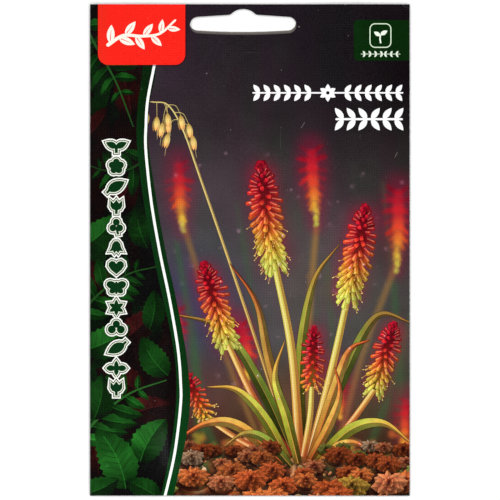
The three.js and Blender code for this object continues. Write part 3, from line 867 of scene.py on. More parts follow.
def furniture():
    """The flat graphics over the picture: tab, badge, pictograms, signs."""
    sign_column()
    # red block at the top left, with a sprig
    red = flecked(0.012, 4.0, 9, along((-45.6, 62), (-42.0, 62), [(0, (235, 47, 33)), (1, (249, 39, 30))]))
    white = (255, 244, 232)
    put(box(-46.0, 55.1, -19.0, 75, 3.5, 8, "ab"), flat(60, 8, 10), 0.35)
    put(box(-45.6, 55.6, -19.4, 75, 3.1, 8, "ab"), red)
    sprig([(-42.6, 61.6), (-38.0, 64.4), (-32.4, 64.2), (-27.0, 65.0), (-22.4, 69.0)], 1.10, 0.60, 8, 5.4, 2.3, white, red)

    # green badge at the right edge
    green = (12, 42, 13)
    put(box(31.2, 56.9, 50, 69.1, 1.3, 5, "ad"), flecked(0.08, 6.0, 13, along((31, 60), (48, 66), [(0, (13, 44, 15)), (1, (10, 39, 10))])))
    put(box(35.9, 60.7, 42.5, 68.1, 1.7, 6), flat(214, 232, 204))
    put(box(36.22, 61.02, 42.18, 67.78, 1.40, 6), flat(*green))
    pictogram(icon_sprout, 39.2, 64.35, 4.5, (240, 250, 232), flat(*green))
    garland(33.2, 45.3, 58.85, 2.1, 7, (232, 244, 224))

    # two rows of leaf ornament where a title would stand
    garland(0.4, 46.4, 47.2, 5.5, 14, (253, 253, 253), True)
    garland(25.2, 46.4, 39.3, 7.6, 5, (253, 253, 253), True)


def scratches():
    r = np.random.default_rng(97)
    marks = [((15.2, 36.4), (16.6, 38.6), 0.14, 0.5), ((9.3, 37), (9.1, 29.4), 0.09, 0.16), ((43.4, 27.6), (44.4, 29.6), 0.12, 0.45),
             ((-13.2, 52.8), (-12.8, 53.2), 0.3, 0.5), ((-2.0, 59.4), (3.4, 59.2), 0.07, 0.2), ((14.6, 66.9), (14.9, 67.2), 0.3, 0.6),
             ((33.0, 33.2), (33.2, 35.0), 0.08, 0.3)]
    for _ in range(46):
        x, y = r.uniform(-46, 47), r.uniform(-72, 72)
        a, long = r.uniform(0, np.pi), r.uniform(0.12, 0.5)
        marks.append(((x, y), (x + long * math.cos(a), y + long * math.sin(a)), r.uniform(0.10, 0.22), r.uniform(0.2, 0.6)))
    for a, b, w, k in marks:
        # each is ragged, and thin at its ends
        a, b = arr(a), arr(b)
        across = unit(b - a)[::-1] * arr([-1, 1]) * w / 2
        line = a + (b - a) * arr([0.22, 0.5, 0.8])[:, None]
        left, right = (line + side * across * r.uniform(0.45, 1.25, (3, 1)) for side in (1, -1))
        put(np.vstack([a, left, b, right[::-1]]), flat(214, 208, 206), k)


# -- the back: a quiet growing guide with no words
def digits(text, x, y, size, colour, area):
    segments = {"0": [[(-1, -2), (-1, 2), (1, 2), (1, -2), (-1, -2)]], "1": [[(-0.7, 1.2), (0.2, 2), (0.2, -2)]],
                "2": [[(-1, 1.3), (-0.5, 2), (0.6, 2), (1, 1.2), (1, 0.6), (-1, -2), (1, -2)]],
                "3": [[(-1, 2), (1, 2), (0, 0.4), (0.8, 0.1), (1, -1), (0.4, -2), (-0.6, -2), (-1, -1.4)]],
                "4": [[(0.5, -2), (0.5, 2), (-1, -0.8), (1, -0.8)]], "5": [[(0.9, 2), (-0.8, 2), (-0.9, 0.3), (0.5, 0.4), (1, -0.6), (0.5, -2), (-1, -1.8)]],
                "6": [[(0.7, 2), (-0.6, 0.6), (-1, -0.8), (-0.5, -2), (0.6, -2), (1, -0.9), (0.4, 0), (-0.7, -0.2)]],
                "7": [[(-1, 2), (1, 2), (-0.3, -2)]], "8": [[(0, 0.2), (-0.9, 1.1), (-0.4, 2), (0.4, 2), (0.9, 1.1), (0, 0.2), (1, -1), (0.5, -2), (-0.5, -2), (-1, -1), (0, 0.2)]],
                "9": [[(-0.7, -2), (0.6, -0.6), (1, 0.8), (0.5, 2), (-0.6, 2), (-1, 0.9), (-0.4, 0), (0.7, 0.2)]]}
    wide = 0.66 * size
    x -= wide * (len(text) - 1) / 2
    for ch in text:
        for line in segments[ch]:
            p = arr(line) * size / 4 * arr([0.95, 1])
            for a, b in zip(p[:-1], p[1:]):
                put(moved(stroke([a, b], size * 0.13, cap=2), x, y), flat(*colour), 1.0, area)
        x += wide


def back_print():
    def back(poly, paint, alpha=1.0):
        put(poly, paint, alpha, "back")

    deep, mid, pale = (14, 54, 22), (46, 112, 52), (206, 220, 190)
    back(box(-50, 50.5, 50, 76), flecked(0.05, 7.0, 21, flat(*deep)))
    back(box(-50, 49.3, 50, 50.5), flat(250, 250, 244))
    back(box(-50, 48.4, 50, 49.3), flat(196, 40, 34))
    pictogram(icon_sprout, -36.5, 60.0, 9.0, (246, 250, 240), flat(*deep), "back")
    for k, (w, y) in enumerate(((46, 59.6), (34, 55.6))):
        back(box(-28, y - 1.0, -28 + w, y + 1.0, 0.9, 4), flat(232, 240, 222))
    # four pictograms in round fields
    for k, kind in enumerate((icon_sun, icon_drop, icon_thermometer, icon_pot)):
        x = -33 + k * 22
        back(disc((x, 37.5), 8.0, 40), flat(*mid))
        back(disc((x, 37.5), 7.2, 40), flat(242, 244, 230))
        pictogram(kind, x, 37.5, 9.6, deep, flat(242, 244, 230), "back")
        back(box(x - 6.5, 25.4, x + 6.5, 26.4, 0.4, 3), flat(110, 124, 104))
        back(box(x - 4.5, 23.0, x + 4.5, 24.0, 0.4, 3), flat(150, 160, 142))
    # calendar
    for k in range(12):
        x = -41.25 + 7.5 * k
        back(box(x - 3.5, 12.4, x + 3.5, 18.4, 0.6, 3), flat(*pale))
        digits(str(k + 1), x, 15.4, 3.0, deep, "back")
        if 1 <= k <= 4:
            back(box(x - 3.5, 8.4, x + 3.5, 11.4, 0.5, 3), flat(224, 120, 48))
        elif 5 <= k <= 9:
            back(box(x - 3.5, 8.4, x + 3.5, 11.4, 0.5, 3), flat(88, 150, 60))
        else:
            back(box(x - 3.5, 8.4, x + 3.5, 11.4, 0.5, 3), flat(222, 222, 208))
    # ruled lines in two columns
    r = np.random.default_rng(5)
    for col in (0, 1):
        x0 = -43 + 45.5 * col
        for k in range(13):
            w = 40.5 if k % 5 != 4 else r.uniform(16, 30)
            y = 1.6 - 2.75 * k
            back(box(x0, y - 0.28, x0 + w, y + 0.28), flat(128, 132, 122))
    # how deep to sow: a small section of soil, with seeds and a sprout
    back(box(-43, -64, 43, -41.5, 1.6, 5), flat(226, 232, 212))
    soil = [(-43, -62.4), (-41.4, -64), (41.4, -64), (43, -62.4), (43, -53.0)]
    x = np.linspace(43, -43, 40)
    soil = np.vstack([soil, np.stack([x, -53.2 + 0.35 * np.sin(x * 0.7) + 0.2 * np.sin(x * 1.9)], -1)])
    back(soil, flecked(0.10, 1.6, 31, along((0, -53), (0, -64), [(0, (126, 84, 52)), (1, (92, 58, 36))])))
    for x in (-34, -30, -26, -9, -5, -1):
        back(disc((x, -54.6), 0.55, 8, ry=0.34), flat(244, 226, 170))
    for x, tall in ((14, 4.5), (22, 6.4), (31, 8.6)):
        back(stroke(curve([(x, -54), (x + 0.3, -54 + tall * 0.5), (x, -54 + tall)], 6), 0.55), flat(70, 138, 58))
        back(leaf_outline((x + tall * 0.28, -54 + tall * 1.02), tall * 0.62, tall * 0.30, 28, 16), flat(70, 138, 58))
        back(leaf_outline((x - tall * 0.28, -54 + tall * 0.96), tall * 0.60, tall * 0.29, 152, 16), flat(92, 158, 70))
    back(box(-50, -76, 50, -68), flecked(0.05, 7.0, 21, flat(*deep)))


def back_ground(p):
    c = np.broadcast_to(arr([240.0, 238.0, 226.0]), (len(p), 3))
    return c * (1 + 0.012 * noise(p, 14.0, 41))[:, None]


main_picture()
bed()
band()
furniture()
scratches()
back_print()


# ----------------------------------------------------------- lay out the blank
def blank_outline():
    right = [(UC, TOP), (UC, FLAP_HIGH), (UF + LF, FLAP_HIGH), (UE, FLAP_HIGH - FLAP_CHAMFER), (UE, FLAP_LOW + FLAP_CHAMFER),
             (UF + LF, FLAP_LOW), (UC, FLAP_LOW), (UC, VB - LB / 2), (BX, VB - LB / 2), (BX, VS - BACK_TOP)]
    left = [(-x, y) for x, y in right[::-1]]
    return arr(right + left)[::-1]


OUTLINE = blank_outline()
FRONT_SLOT = slot_outline(0, 0)
BACK_SLOT = slot_outline(BACK_DX, BACK_DY)
BACK_SLOT = np.stack([BACK_SLOT[:, 0], VS - BACK_SLOT[:, 1]], -1)[::-1]


def split_long(loop, most):
    out = []
    for a, b in zip(loop, np.roll(loop, -1, axis=0)):
        k = max(1, int(math.ceil(np.hypot(*(b - a)) / most)))
        out += [a + (b - a) * i / k for i in range(k)]
    return arr(out)


def on_sheet(p):
    return inside(OUTLINE, p) & ~inside(FRONT_SLOT, p) & ~inside(BACK_SLOT, p)


def crease_lines(gap):
    lines = []
    for side in (-1, 1):
        for k in range(9):
            y = np.arange(FLAP_LOW, FLAP_HIGH + 0.01, (FLAP_HIGH - FLAP_LOW) / round((FLAP_HIGH - FLAP_LOW) / gap))
            lines.append(np.stack([np.full(len(y), side * (UF + LF * k / 8)), y], -1))
    for k in range(11):
        x = np.linspace(-BX, BX, int(2 * BX / gap) + 1)
        lines.append(np.stack([x, np.full(len(x), VB - LB * k / 10)], -1))
    return lines


def scatter(x0, y0, x1, y1, pitch, seed):
    """Points on a loose triangular grid."""
    r = np.random.default_rng(seed)
    rows = np.arange(y0, y1, pitch * 0.866)
    out = []
    for k, y in enumerate(rows):
        x = np.arange(x0 + (pitch / 2 if k % 2 else 0), x1, pitch)
        out.append(np.stack([x, np.full(len(x), y)], -1))
    p = np.vstack(out)
    return p + r.uniform(-0.16, 0.16, p.shape) * pitch


def hidden_edges(shapes):
    """Edges of the print that lie wholly under something opaque drawn later."""
    start = np.vstack([q[0] for q in shapes])
    end = np.vstack([np.roll(q[0], -1, axis=0) for q in shapes])
    owner = np.repeat(np.arange(len(shapes)), [len(q[0]) for q in shapes])
    lo, hi = np.minimum(start, end), np.maximum(start, end)
    order = np.argsort(lo[:, 0], kind="stable")
    lo_x = lo[order, 0]
    gone = np.zeros(len(start), bool)
    for j, (poly, _, alpha, area) in enumerate(shapes):
        if alpha < 1 or area == "back":
            continue
        a, b = poly.min(0), poly.max(0)
        e = order[np.searchsorted(lo_x, a[0]):np.searchsorted(lo_x, b[0])]
        e = e[(owner[e] < j) & ~gone[e]]
        e = e[(lo[e, 1] >= a[1]) & (hi[e, 0] <= b[0]) & (hi[e, 1] <= b[1])]
        if len(e):
            ok = inside(poly, start[e]) & inside(poly, end[e]) & inside(poly, (start[e] + end[e]) / 2)
            gone[e[ok]] = True
    return start[~gone], end[~gone]


def mesh_flat(loops, lines, points, extra=None, eps=2e-5):
    """Triangles of the sheet inside the first three loops: the outline, less the two slots."""
    verts, edges = [], []

    def chain(p, closed):
        b = len(verts)
        verts.extend(Vector((float(x), float(y))) for x, y in p)
        n = len(p)
        edges.extend((b + i, b + (i + 1) % n) for i in range(n if closed else n - 1))

    for p in loops:
        chain(p, True)
    border = len(edges)
    for p in lines:
        chain(p, False)
    if extra is not None:
        both = np.vstack(extra)
        ids, back = np.unique(np.round(both, 7), axis=0, return_inverse=True)
        back = back.reshape(2, -1) + len(verts)
        verts.extend(Vector((float(x), float(y))) for x, y in ids)
        edges.extend((int(i), int(j)) for i, j in back.T if i != j)
    verts.extend(Vector((float(x), float(y))) for x, y in points)
    v, e, f, orig, orig_edges, _ = delaunay_2d_cdt(verts, edges, [], 0, eps, True)
    v = arr([(q.x, q.y) for q in v])
    f = np.array(f, int)
    a, b, c = v[f[:, 0]], v[f[:, 1]], v[f[:, 2]]
    twice = (b[:, 0] - a[:, 0]) * (c[:, 1] - a[:, 1]) - (b[:, 1] - a[:, 1]) * (c[:, 0] - a[:, 0])
    f[twice < 0] = f[twice < 0][:, ::-1]
    # the sheet is what can be reached from its middle without crossing its border
    n = len(v)
    walls = np.array([sorted(q) for q, o in zip(e, orig_edges) if any(i < border for i in o)])
    walls = np.sort(walls[:, 0] * n + walls[:, 1])
    sides = np.stack([f, np.roll(f, -1, axis=1)], -1).reshape(-1, 2)
    code = sides.min(1) * n + sides.max(1)
    order = np.argsort(code, kind="stable")
    same = np.flatnonzero(code[order][1:] == code[order][:-1])
    i, j = order[same], order[same + 1]
    place = np.minimum(np.searchsorted(walls, code[i]), len(walls) - 1)
    open_side = walls[place] != code[i]
    near = np.full(len(code), -1)
    near[i[open_side]] = j[open_side] // 3
    near[j[open_side]] = i[open_side] // 3
    near = near.reshape(-1, 3)
    mid = (a + b + c) / 3
    seen = np.zeros(len(f) + 1, bool)
    wave = np.array([int(np.argmin(np.hypot(mid[:, 0], mid[:, 1])))])
    seen[wave] = True
    while len(wave):
        wave = np.unique(near[wave])
        wave = wave[(wave >= 0)]
        wave = wave[~seen[wave]]
        seen[wave] = True
    return v, f[seen[:-1]], orig


def far_from(points, loops, gap):
    """Drops points that lie within gap of a loop's edges."""
    ok = np.ones(len(points), bool)
    for loop in loops:
        for a, b in zip(loop, np.roll(loop, -1, axis=0)):
            lo, hi = np.minimum(a, b) - gap, np.maximum(a, b) + gap
            near = np.flatnonzero(ok & ((points >= lo) & (points <= hi)).all(1))
            if not len(near):
                continue
            q = points[near] - a
            d = b - a
            t = np.clip(q @ d / max(1e-12, float(d @ d)), 0, 1)
            ok[near[np.hypot(*(q - t[:, None] * d).T) < gap]] = False
    return points[ok]


outline = split_long(OUTLINE, 3.0)
border = [outline, FRONT_SLOT, BACK_SLOT]
left_of = lambda p: np.interp(p[:, 1], WHITE_LINE[::-1, 1], WHITE_LINE[::-1, 0])
fine = scatter(-30, -60.0, UF - 0.3, 36.0, 0.70, 1)
wanted = np.zeros(len(fine), bool)
for line, w, _, blur, _ in soft:
    if blur > 0.95:
        continue
    reach = w.max() / 2 + blur + 0.2
    a, b = line[0], line[-1]
    d = b - a
    t = np.clip((fine - a) @ d / max(1e-9, float(d @ d)), 0, 1)
    wanted |= np.hypot(*(fine - a - t[:, None] * d).T) < reach
fine = fine[wanted]
low_pic = scatter(-30, -TOP + 0.4, UF - 0.3, 36.0, 1.2, 5)
took = np.unique(np.round(fine / 0.9).astype(int), axis=0)
here = np.round(low_pic / 0.9).astype(int)
low_pic = low_pic[~np.isin(here[:, 0] * 4096 + here[:, 1], took[:, 0] * 4096 + took[:, 1])]
low_pic = np.vstack([low_pic, fine])
low_pic = low_pic[low_pic[:, 0] > left_of(low_pic) + 0.3]
top_pic = scatter(-32, 36.2, UF - 0.3, TOP - 0.3, 1.35, 2)
top_pic = top_pic[top_pic[:, 0] > left_of(top_pic) + 0.3]
left_pic = scatter(-UF + 0.4, -TOP + 0.5, -18, TOP - 0.3, 1.5, 3)
left_pic = left_pic[left_pic[:, 0] < left_of(left_pic) - 0.3]
back_pts = scatter(-BX + 0.8, VS - BACK_TOP + 0.8, BX - 0.8, VB - LB - 0.6, 3.2, 4)
points = far_from(np.vstack([low_pic, top_pic, left_pic, back_pts]), border, 0.22)
v_out, f_out, _ = mesh_flat(border, crease_lines(3.0), points, hidden_edges(shapes))

# ------------------------------------------------------------ colour the print
corner = v_out[f_out]                     # triangle, corner, (u, v)
mid = corner.mean(1)
n_tri = len(f_out)
is_back = mid[:, 1] < VB - LB / 2
is_flap = (np.abs(mid[:, 0]) > UF + LF) & ~is_back
colour = np.zeros((n_tri, 3, 3))
front = ~is_back & ~is_flap
colour[front] = ground(v_out)[f_out[front]]
colour[is_back] = back_ground(v_out)[f_out[is_back]]
colour[is_flap] = (238, 236, 228)

CELL = 3.0
cell = np.floor((mid - mid.min(0)) / CELL).astype(int)
span = cell.max(0) + 1
key = cell[:, 0] * span[1] + cell[:, 1]
order = np.argsort(key, kind="stable")
starts = np.searchsorted(key[order], np.arange(span[0] * span[1] + 1))
low_corner = mid.min(0)


def triangles_in(poly):
    a = np.maximum(np.floor((poly.min(0) - low_corner) / CELL).astype(int), 0)
    b = np.minimum(np.floor((poly.max(0) - low_corner) / CELL).astype(int), span - 1)
    found = []
    for i in range(a[0], b[0] + 1):
        s, e = starts[i * span[1] + a[1]], starts[i * span[1] + b[1] + 1]
        found.append(order[s:e])
    if not found:
        return np.zeros(0, int)
    t = np.concatenate(found)
    m = mid[t]
    ok = ((m >= poly.min(0)) & (m <= poly.max(0))).all(1)
    t = t[ok]
    return t[inside(poly, mid[t])]


for poly, paint, alpha, area in shapes:
    t = triangles_in(poly)
    t = t[is_back[t]] if area == "back" else t[front[t]]
    if not len(t):
        continue
    p = corner[t].reshape(-1, 2)
    c = arr(paint(p)).reshape(-1, 3, 3)
    colour[t] += alpha * (c - colour[t])
colour = np.clip(colour, 0, 255) / 255
linear = np.where(colour <= 0.04045, colour / 12.92, ((colour + 0.055) / 1.055) ** 2.4)
linear = np.maximum(linear * 0.943 - 0.0040, 0.0003)  # the paper's own gloss adds this back


# --------------------------------------------------------------- fold it up
def quintic(a, b, x):
    t = np.clip((x - a) / (b - a), 0, 1)
    return t * t * t * (t * (6 * t - 15) + 10)


def lift(u, v):
    """How far the front stands over its edges: the sachet under it, the slack of the paper, and the dip round the slot."""
    across = 1 - quintic(20, 37.5, np.abs(u))
    up = quintic(-72.0, -50, v) * (1 - quintic(-14, 40, v))
    room = (1 - quintic(30, 44.5, np.abs(u))) * quintic(-73.0, -60, v)
    z = SWELL * across * up
    # the sachet's sealed border shows as a faint ridge round the swelling
    d = np.maximum(np.abs(u) - 24.0, np.abs(v + 30.0) - 33.0)
    z = z + 0.10 * np.exp(-((d / 2.2) ** 2)) * across
    z = z + room * (0.09 * np.sin(u * 0.115 + v * 0.052 + 0.6) + 0.07 * np.sin(u * 0.05 - v * 0.098 + 2.1) + 0.12)
    # the punch has pressed the paper down round the slot, so the mouth is all but shut there
    z = z - 0.33 * (1 - quintic(15, 36, np.abs(u + 1))) * quintic(62.0, 70.5, v)
    return z


def folded(uv):
    u, v = uv[:, 0], uv[:, 1]
    a, side = np.abs(u), np.sign(u)
    th = np.clip((a - UF) / FOLD_SIDE, 0, math.pi)
    past = np.clip(a - UF - LF, 0, None)
    x = np.where(a <= UF, a, UF + FOLD_SIDE * np.sin(th) - past)
    dx = np.where(a <= UF, 1.0, np.cos(th))
    zu = -FOLD_SIDE * (1 - np.cos(th))
    dzu = -np.sin(th) * side
    s = VB - v
    ph = np.clip(s / FOLD_BOTTOM, 0, math.pi)
    beyond = np.clip(s - LB, 0, None)
    y = np.where(s <= 0, v, VB - FOLD_BOTTOM * np.sin(ph) + beyond)
    dy = np.where(s <= 0, 1.0, np.cos(ph))
    zv = -FOLD_BOTTOM * (1 - np.cos(ph))
    dzv = np.sin(ph)
    on_front = ((a <= UF) & (s <= 0)).astype(float)
    e = 0.05
    z = EDGE_Z + zu + zv + lift(u, v) * on_front
    gu = (lift(u + e, v) - lift(u - e, v)) / (2 * e) * on_front
    gv = (lift(u, v + e) - lift(u, v - e)) / (2 * e) * on_front
    n = np.stack([-(dzu + gu) * dy, -dx * (dzv + gv), dx * dy], -1)
    n /= np.maximum(np.linalg.norm(n, axis=1)[:, None], 1e-9)
    return np.stack([side * x, y, z], -1), n


# the outer face's rim, which the inner face shares
used = np.unique(f_out)
compact = np.full(len(v_out), -1)
compact[used] = np.arange(len(used))
v_out, f_out = v_out[used], compact[f_out]
pairs = np.vstack([f_out[:, [0, 1]], f_out[:, [1, 2]], f_out[:, [2, 0]]])
code = pairs[:, 0] * len(v_out) + pairs[:, 1]
back_code = pairs[:, 1] * len(v_out) + pairs[:, 0]
rim = pairs[~np.isin(code, back_code)]
follow = dict(rim.tolist())
rims, left_over = [], set(follow)
if len(follow) != len(rim):
    raise ValueError("the sheet's rim meets itself")
while left_over:
    start = min(left_over)
    loop = [start]
    left_over.discard(start)
    j = follow[start]
    while j != start:
        loop.append(j)
        left_over.discard(j)
        j = follow[j]
    rims.append(loop)

rim_loops = [v_out[np.array(loop)] for loop in rims]
inner_pts = scatter(-UF + 0.6, VS - BACK_TOP + 1.0, UF - 0.6, TOP - 0.6, 3.0, 8)
inner_pts = inner_pts[on_sheet(inner_pts)]
inner_pts = inner_pts[(inner_pts[:, 1] < VB - LB - 0.4) | (inner_pts[:, 1] > VB + 0.4)]
inner_pts = far_from(inner_pts, rim_loops, 0.6)
lines = []
for line in crease_lines(3.0):
    lines.append(line[1:-1])
v_in, f_in, orig = mesh_flat(rim_loops, lines, inner_pts, eps=1e-6)
rim_of = np.full(sum(len(loop) for loop in rims), -1)
for i, ids in enumerate(orig):
    for j in ids:
        if j < len(rim_of):
            rim_of[j] = i
rim_ids = np.concatenate([np.array(loop) for loop in rims])
used = np.unique(f_in)
compact = np.full(len(v_in), -1)
compact[used] = np.arange(len(used))
v_in, f_in, rim_of = v_in[used], compact[f_in], compact[rim_of]
inner_of = dict(zip(rim_ids.tolist(), rim_of.tolist()))

p_out, n_out = folded(v_out)
p_in, n_in = folded(v_in)
p_in = p_in - PAPER * n_in
n_o = len(p_out)
tris = [f_out, f_in[:, ::-1] + n_o]
wall, wall_n = [], []
for loop in rims:
    for i, j in zip(loop, loop[1:] + loop[:1]):
        a, b = inner_of[i] + n_o, inner_of[j] + n_o
        wall += [(j, i, a), (j, a, b)]
wall = np.array(wall)
faces = np.vstack(tris + [wall])
points3 = np.vstack([p_out, p_in]) * MM
normals3 = np.vstack([n_out, -n_in])

# closed and simple: every edge is used once each way
pairs = np.vstack([faces[:, [0, 1]], faces[:, [1, 2]], faces[:, [2, 0]]])
code = pairs[:, 0] * len(points3) + pairs[:, 1]
turned = pairs[:, 1] * len(points3) + pairs[:, 0]
print("envelope", len(points3), "points", len(faces), "triangles; open edges", int((~np.isin(code, turned)).sum()),
      "doubled", int(len(code) - len(np.unique(code))), "shapes", len(shapes))


# --------------------------------------------------------------- materials
def material(name):
    m = bpy.data.materials.new(name)
    m.use_nodes = True
    nt = m.node_tree
    nt.nodes.clear()
    out = nt.nodes.new("ShaderNodeOutputMaterial")
    bsdf = nt.nodes.new("ShaderNodeBsdfPrincipled")
    nt.links.new(bsdf.outputs[0], out.inputs[0])
    return m, nt, bsdf


def node(nt, kind, **values):
    n = nt.nodes.new(kind)
    for k, x in values.items():
        if k.startswith("in_"):
            key = k[3:]
            n.inputs[int(key) if key.isdigit() else key].default_value = x
        else:
            setattr(n, k, x)
    return n


def math_node(nt, op, a, b=None, clamp=False):
    n = nt.nodes.new("ShaderNodeMath")
    n.operation = op
    n.use_clamp = clamp
    for i, x in enumerate((a, b)):
        if x is None:
            continue
        if isinstance(x, (int, float)):
            n.inputs[i].default_value = x
        else:
            nt.links.new(x, n.inputs[i])
    return n.outputs[0]


def mixed(nt, kind, factor, a, b):
    n = nt.nodes.new("ShaderNodeMix")
    n.data_type = "RGBA"
    n.blend_type = kind
    for i, x in ((0, factor), (6, a), (7, b)):
        if isinstance(x, (int, float)):
            n.inputs[i].default_value = x
        elif isinstance(x, tuple):
            n.inputs[i].default_value = (*x, 1)
        else:
            nt.links.new(x, n.inputs[i])
    return n.outputs[2]


def spread(nt, value, a, b, c, d):
    n = node(nt, "ShaderNodeMapRange")
    n.clamp = True
    nt.links.new(value, n.inputs[0])
    for i, x in enumerate((a, b, c, d)):
        n.inputs[i + 1].default_value = x
    return n.outputs[0]


def noise_node(nt, where, scale, detail=2.0, rough=0.5):
    n = node(nt, "ShaderNodeTexNoise", in_Scale=scale, in_Detail=detail, in_Roughness=rough)
    nt.links.new(where, n.inputs["Vector"])
    return n.outputs["Fac"]


def object_place(nt):
    return node(nt, "ShaderNodeTexCoord").outputs["Object"]


def printed_paper():
    """Coated paper printed in four colours: the ink, its grain, a fine linen weave from the coating rollers
    whose shading and sheen are painted into the colour, dust-white rubs, and worn outer edges."""
    m, nt, bsdf = material("printed_coated_paper")
    where = object_place(nt)
    ink = node(nt, "ShaderNodeAttribute", attribute_name="print").outputs["Color"]
    grain = noise_node(nt, where, 2500.0, 2.0, 0.6)
    mottle = noise_node(nt, where, 160.0, 3.0, 0.55)
    xyz = node(nt, "ShaderNodeSeparateXYZ")
    nt.links.new(where, xyz.inputs[0])
    # linen weave: threads at a pitch of 0.75 mm each way
    thread = []
    for axis, phase in ((0, 0.0), (1, 0.4)):
        wobble = math_node(nt, "MULTIPLY", mottle, 1.2)
        turn = math_node(nt, "ADD", math_node(nt, "MULTIPLY", xyz.outputs[axis], 2 * math.pi / 0.0015), wobble)
        thread.append(math_node(nt, "POWER", math_node(nt, "ABSOLUTE", math_node(nt, "SINE", turn)), 6.0))
    weave = math_node(nt, "MAXIMUM", thread[0], thread[1])
    patch = spread(nt, noise_node(nt, where, 60.0, 2.0, 0.6), 0.40, 0.62, 0.0, 1.0)
    faint = math_node(nt, "MULTIPLY", math_node(nt, "SUBTRACT", grain, 0.5), 0.016)
    # painted sheen: the weave lifts the colour a little, as light glancing off embossed threads would, most in patches
    weave_painted_sheen = math_node(nt, "MULTIPLY", weave, math_node(nt, "ADD", 0.0009, math_node(nt, "MULTIPLY", patch, 0.0030)))
    weave_sheen_and_grain = math_node(nt, "ADD", weave_painted_sheen, faint)
    speck = spread(nt, grain, 0.30, 0.70, -0.09, 0.09)
    # painted shade: the weave darkens the ink between its threads and lightens it on them, as light on embossed threads
    # would
    weave_painted_shade = math_node(nt, "MULTIPLY", math_node(nt, "SUBTRACT", weave, 0.45), math_node(nt, "ADD", 0.05, math_node(nt, "MULTIPLY", patch, 0.11)))
    value = node(nt, "ShaderNodeHueSaturation", in_Saturation=1.0)
    nt.links.new(ink, value.inputs["Color"])
    nt.links.new(math_node(nt, "ADD", math_node(nt, "ADD", 1.0, speck), weave_painted_shade), value.inputs["Value"])
    weave_sheen_and_grain_rgb = node(nt, "ShaderNodeCombineColor")
    for i in range(3):
        nt.links.new(weave_sheen_and_grain, weave_sheen_and_grain_rgb.inputs[i])
    shade = node(nt, "ShaderNodeMix", data_type="RGBA", blend_type="ADD")
    shade.inputs[0].default_value = 1.0
    nt.links.new(value.outputs[0], shade.inputs[6])
    nt.links.new(weave_sheen_and_grain_rgb.outputs[0], shade.inputs[7])
    # worn edges: raw fibre shows where the paper turns at its outline
    edge_x = math_node(nt, "ABSOLUTE", xyz.outputs[0])
    edge_y = math_node(nt, "ABSOLUTE", xyz.outputs[1])
    near_x = spread(nt, edge_x, 0.04755, 0.04800, 0.0, 1.0)
    near_y = spread(nt, edge_y, 0.07345, 0.07380, 0.0, 1.0)
    near = math_node(nt, "MAXIMUM", near_x, near_y)
    chip = noise_node(nt, where, 900.0, 4.0, 0.65)
    worn = spread(nt, math_node(nt, "ADD", math_node(nt, "MULTIPLY", near, 0.30), chip), 0.86, 0.94, 0.0, 0.75)
    floor_ink = node(nt, "ShaderNodeVectorMath", operation="MAXIMUM")
    floor_ink.inputs[1].default_value = (0.0003, 0.0003, 0.0003)
    nt.links.new(shade.outputs[2], floor_ink.inputs[0])
    final = mixed(nt, "MIX", worn, floor_ink.outputs[0], (0.62, 0.58, 0.54))
    nt.links.new(final, bsdf.inputs["Base Color"])
    rough = math_node(nt, "ADD", spread(nt, mottle, 0.3, 0.7, 0.13, 0.18), math_node(nt, "MULTIPLY", worn, 0.35))
    nt.links.new(rough, bsdf.inputs["Roughness"])
    bsdf.inputs["Specular IOR Level"].default_value = 0.16
    bump = node(nt, "ShaderNodeBump", in_Strength=0.16, in_Distance=0.00004)
    height = math_node(nt, "ADD", math_node(nt, "MULTIPLY", weave, 0.5), math_node(nt, "MULTIPLY", noise_node(nt, where, 1500.0, 3.0, 0.6), 0.8))
    nt.links.new(height, bump.inputs["Height"])
    nt.links.new(bump.outputs[0], bsdf.inputs["Normal"])
    return m


def raw_paper(name, dark, light, stain):
    """The unprinted side, or the cut edges: uncoated and fibrous."""
    m, nt, bsdf = material(name)
    where = object_place(nt)
    fibre = noise_node(nt, where, 2600.0, 5.0, 0.7)
    cloud = noise_node(nt, where, 90.0, 3.0, 0.5)
    base = mixed(nt, "MIX", spread(nt, fibre, 0.3, 0.7, 0.0, 1.0), dark, light)
    base = mixed(nt, "MIX", spread(nt, cloud, 0.35, 0.7, 0.0, 0.35), base, stain)
    nt.links.new(base, bsdf.inputs["Base Color"])
    nt.links.new(spread(nt, fibre, 0.3, 0.7, 0.78, 0.92), bsdf.inputs["Roughness"])
    bsdf.inputs["Specular IOR Level"].default_value = 0.25
    bump = node(nt, "ShaderNodeBump", in_Strength=0.5, in_Distance=0.00006)
    nt.links.new(fibre, bump.inputs["Height"])
    nt.links.new(bump.outputs[0], bsdf.inputs["Normal"])
    return m


def hot_melt():
    m, nt, bsdf = material("hot_melt_glue")
    where = object_place(nt)
    cloud = noise_node(nt, where, 700.0, 3.0, 0.5)
    base = mixed(nt, "MIX", spread(nt, cloud, 0.3, 0.7, 0.0, 1.0), (0.80, 0.74, 0.58), (0.90, 0.86, 0.74))
    nt.links.new(base, bsdf.inputs["Base Color"])
    nt.links.new(spread(nt, cloud, 0.3, 0.7, 0.22, 0.40), bsdf.inputs["Roughness"])
    bsdf.inputs["Subsurface Weight"].default_value = 0.2
    bsdf.inputs["Subsurface Scale"].default_value = 0.001
    bump = node(nt, "ShaderNodeBump", in_Strength=0.4, in_Distance=0.0001)
    nt.links.new(noise_node(nt, where, 320.0, 2.0, 0.5), bump.inputs["Height"])
    nt.links.new(bump.outputs[0], bsdf.inputs["Normal"])
    return m


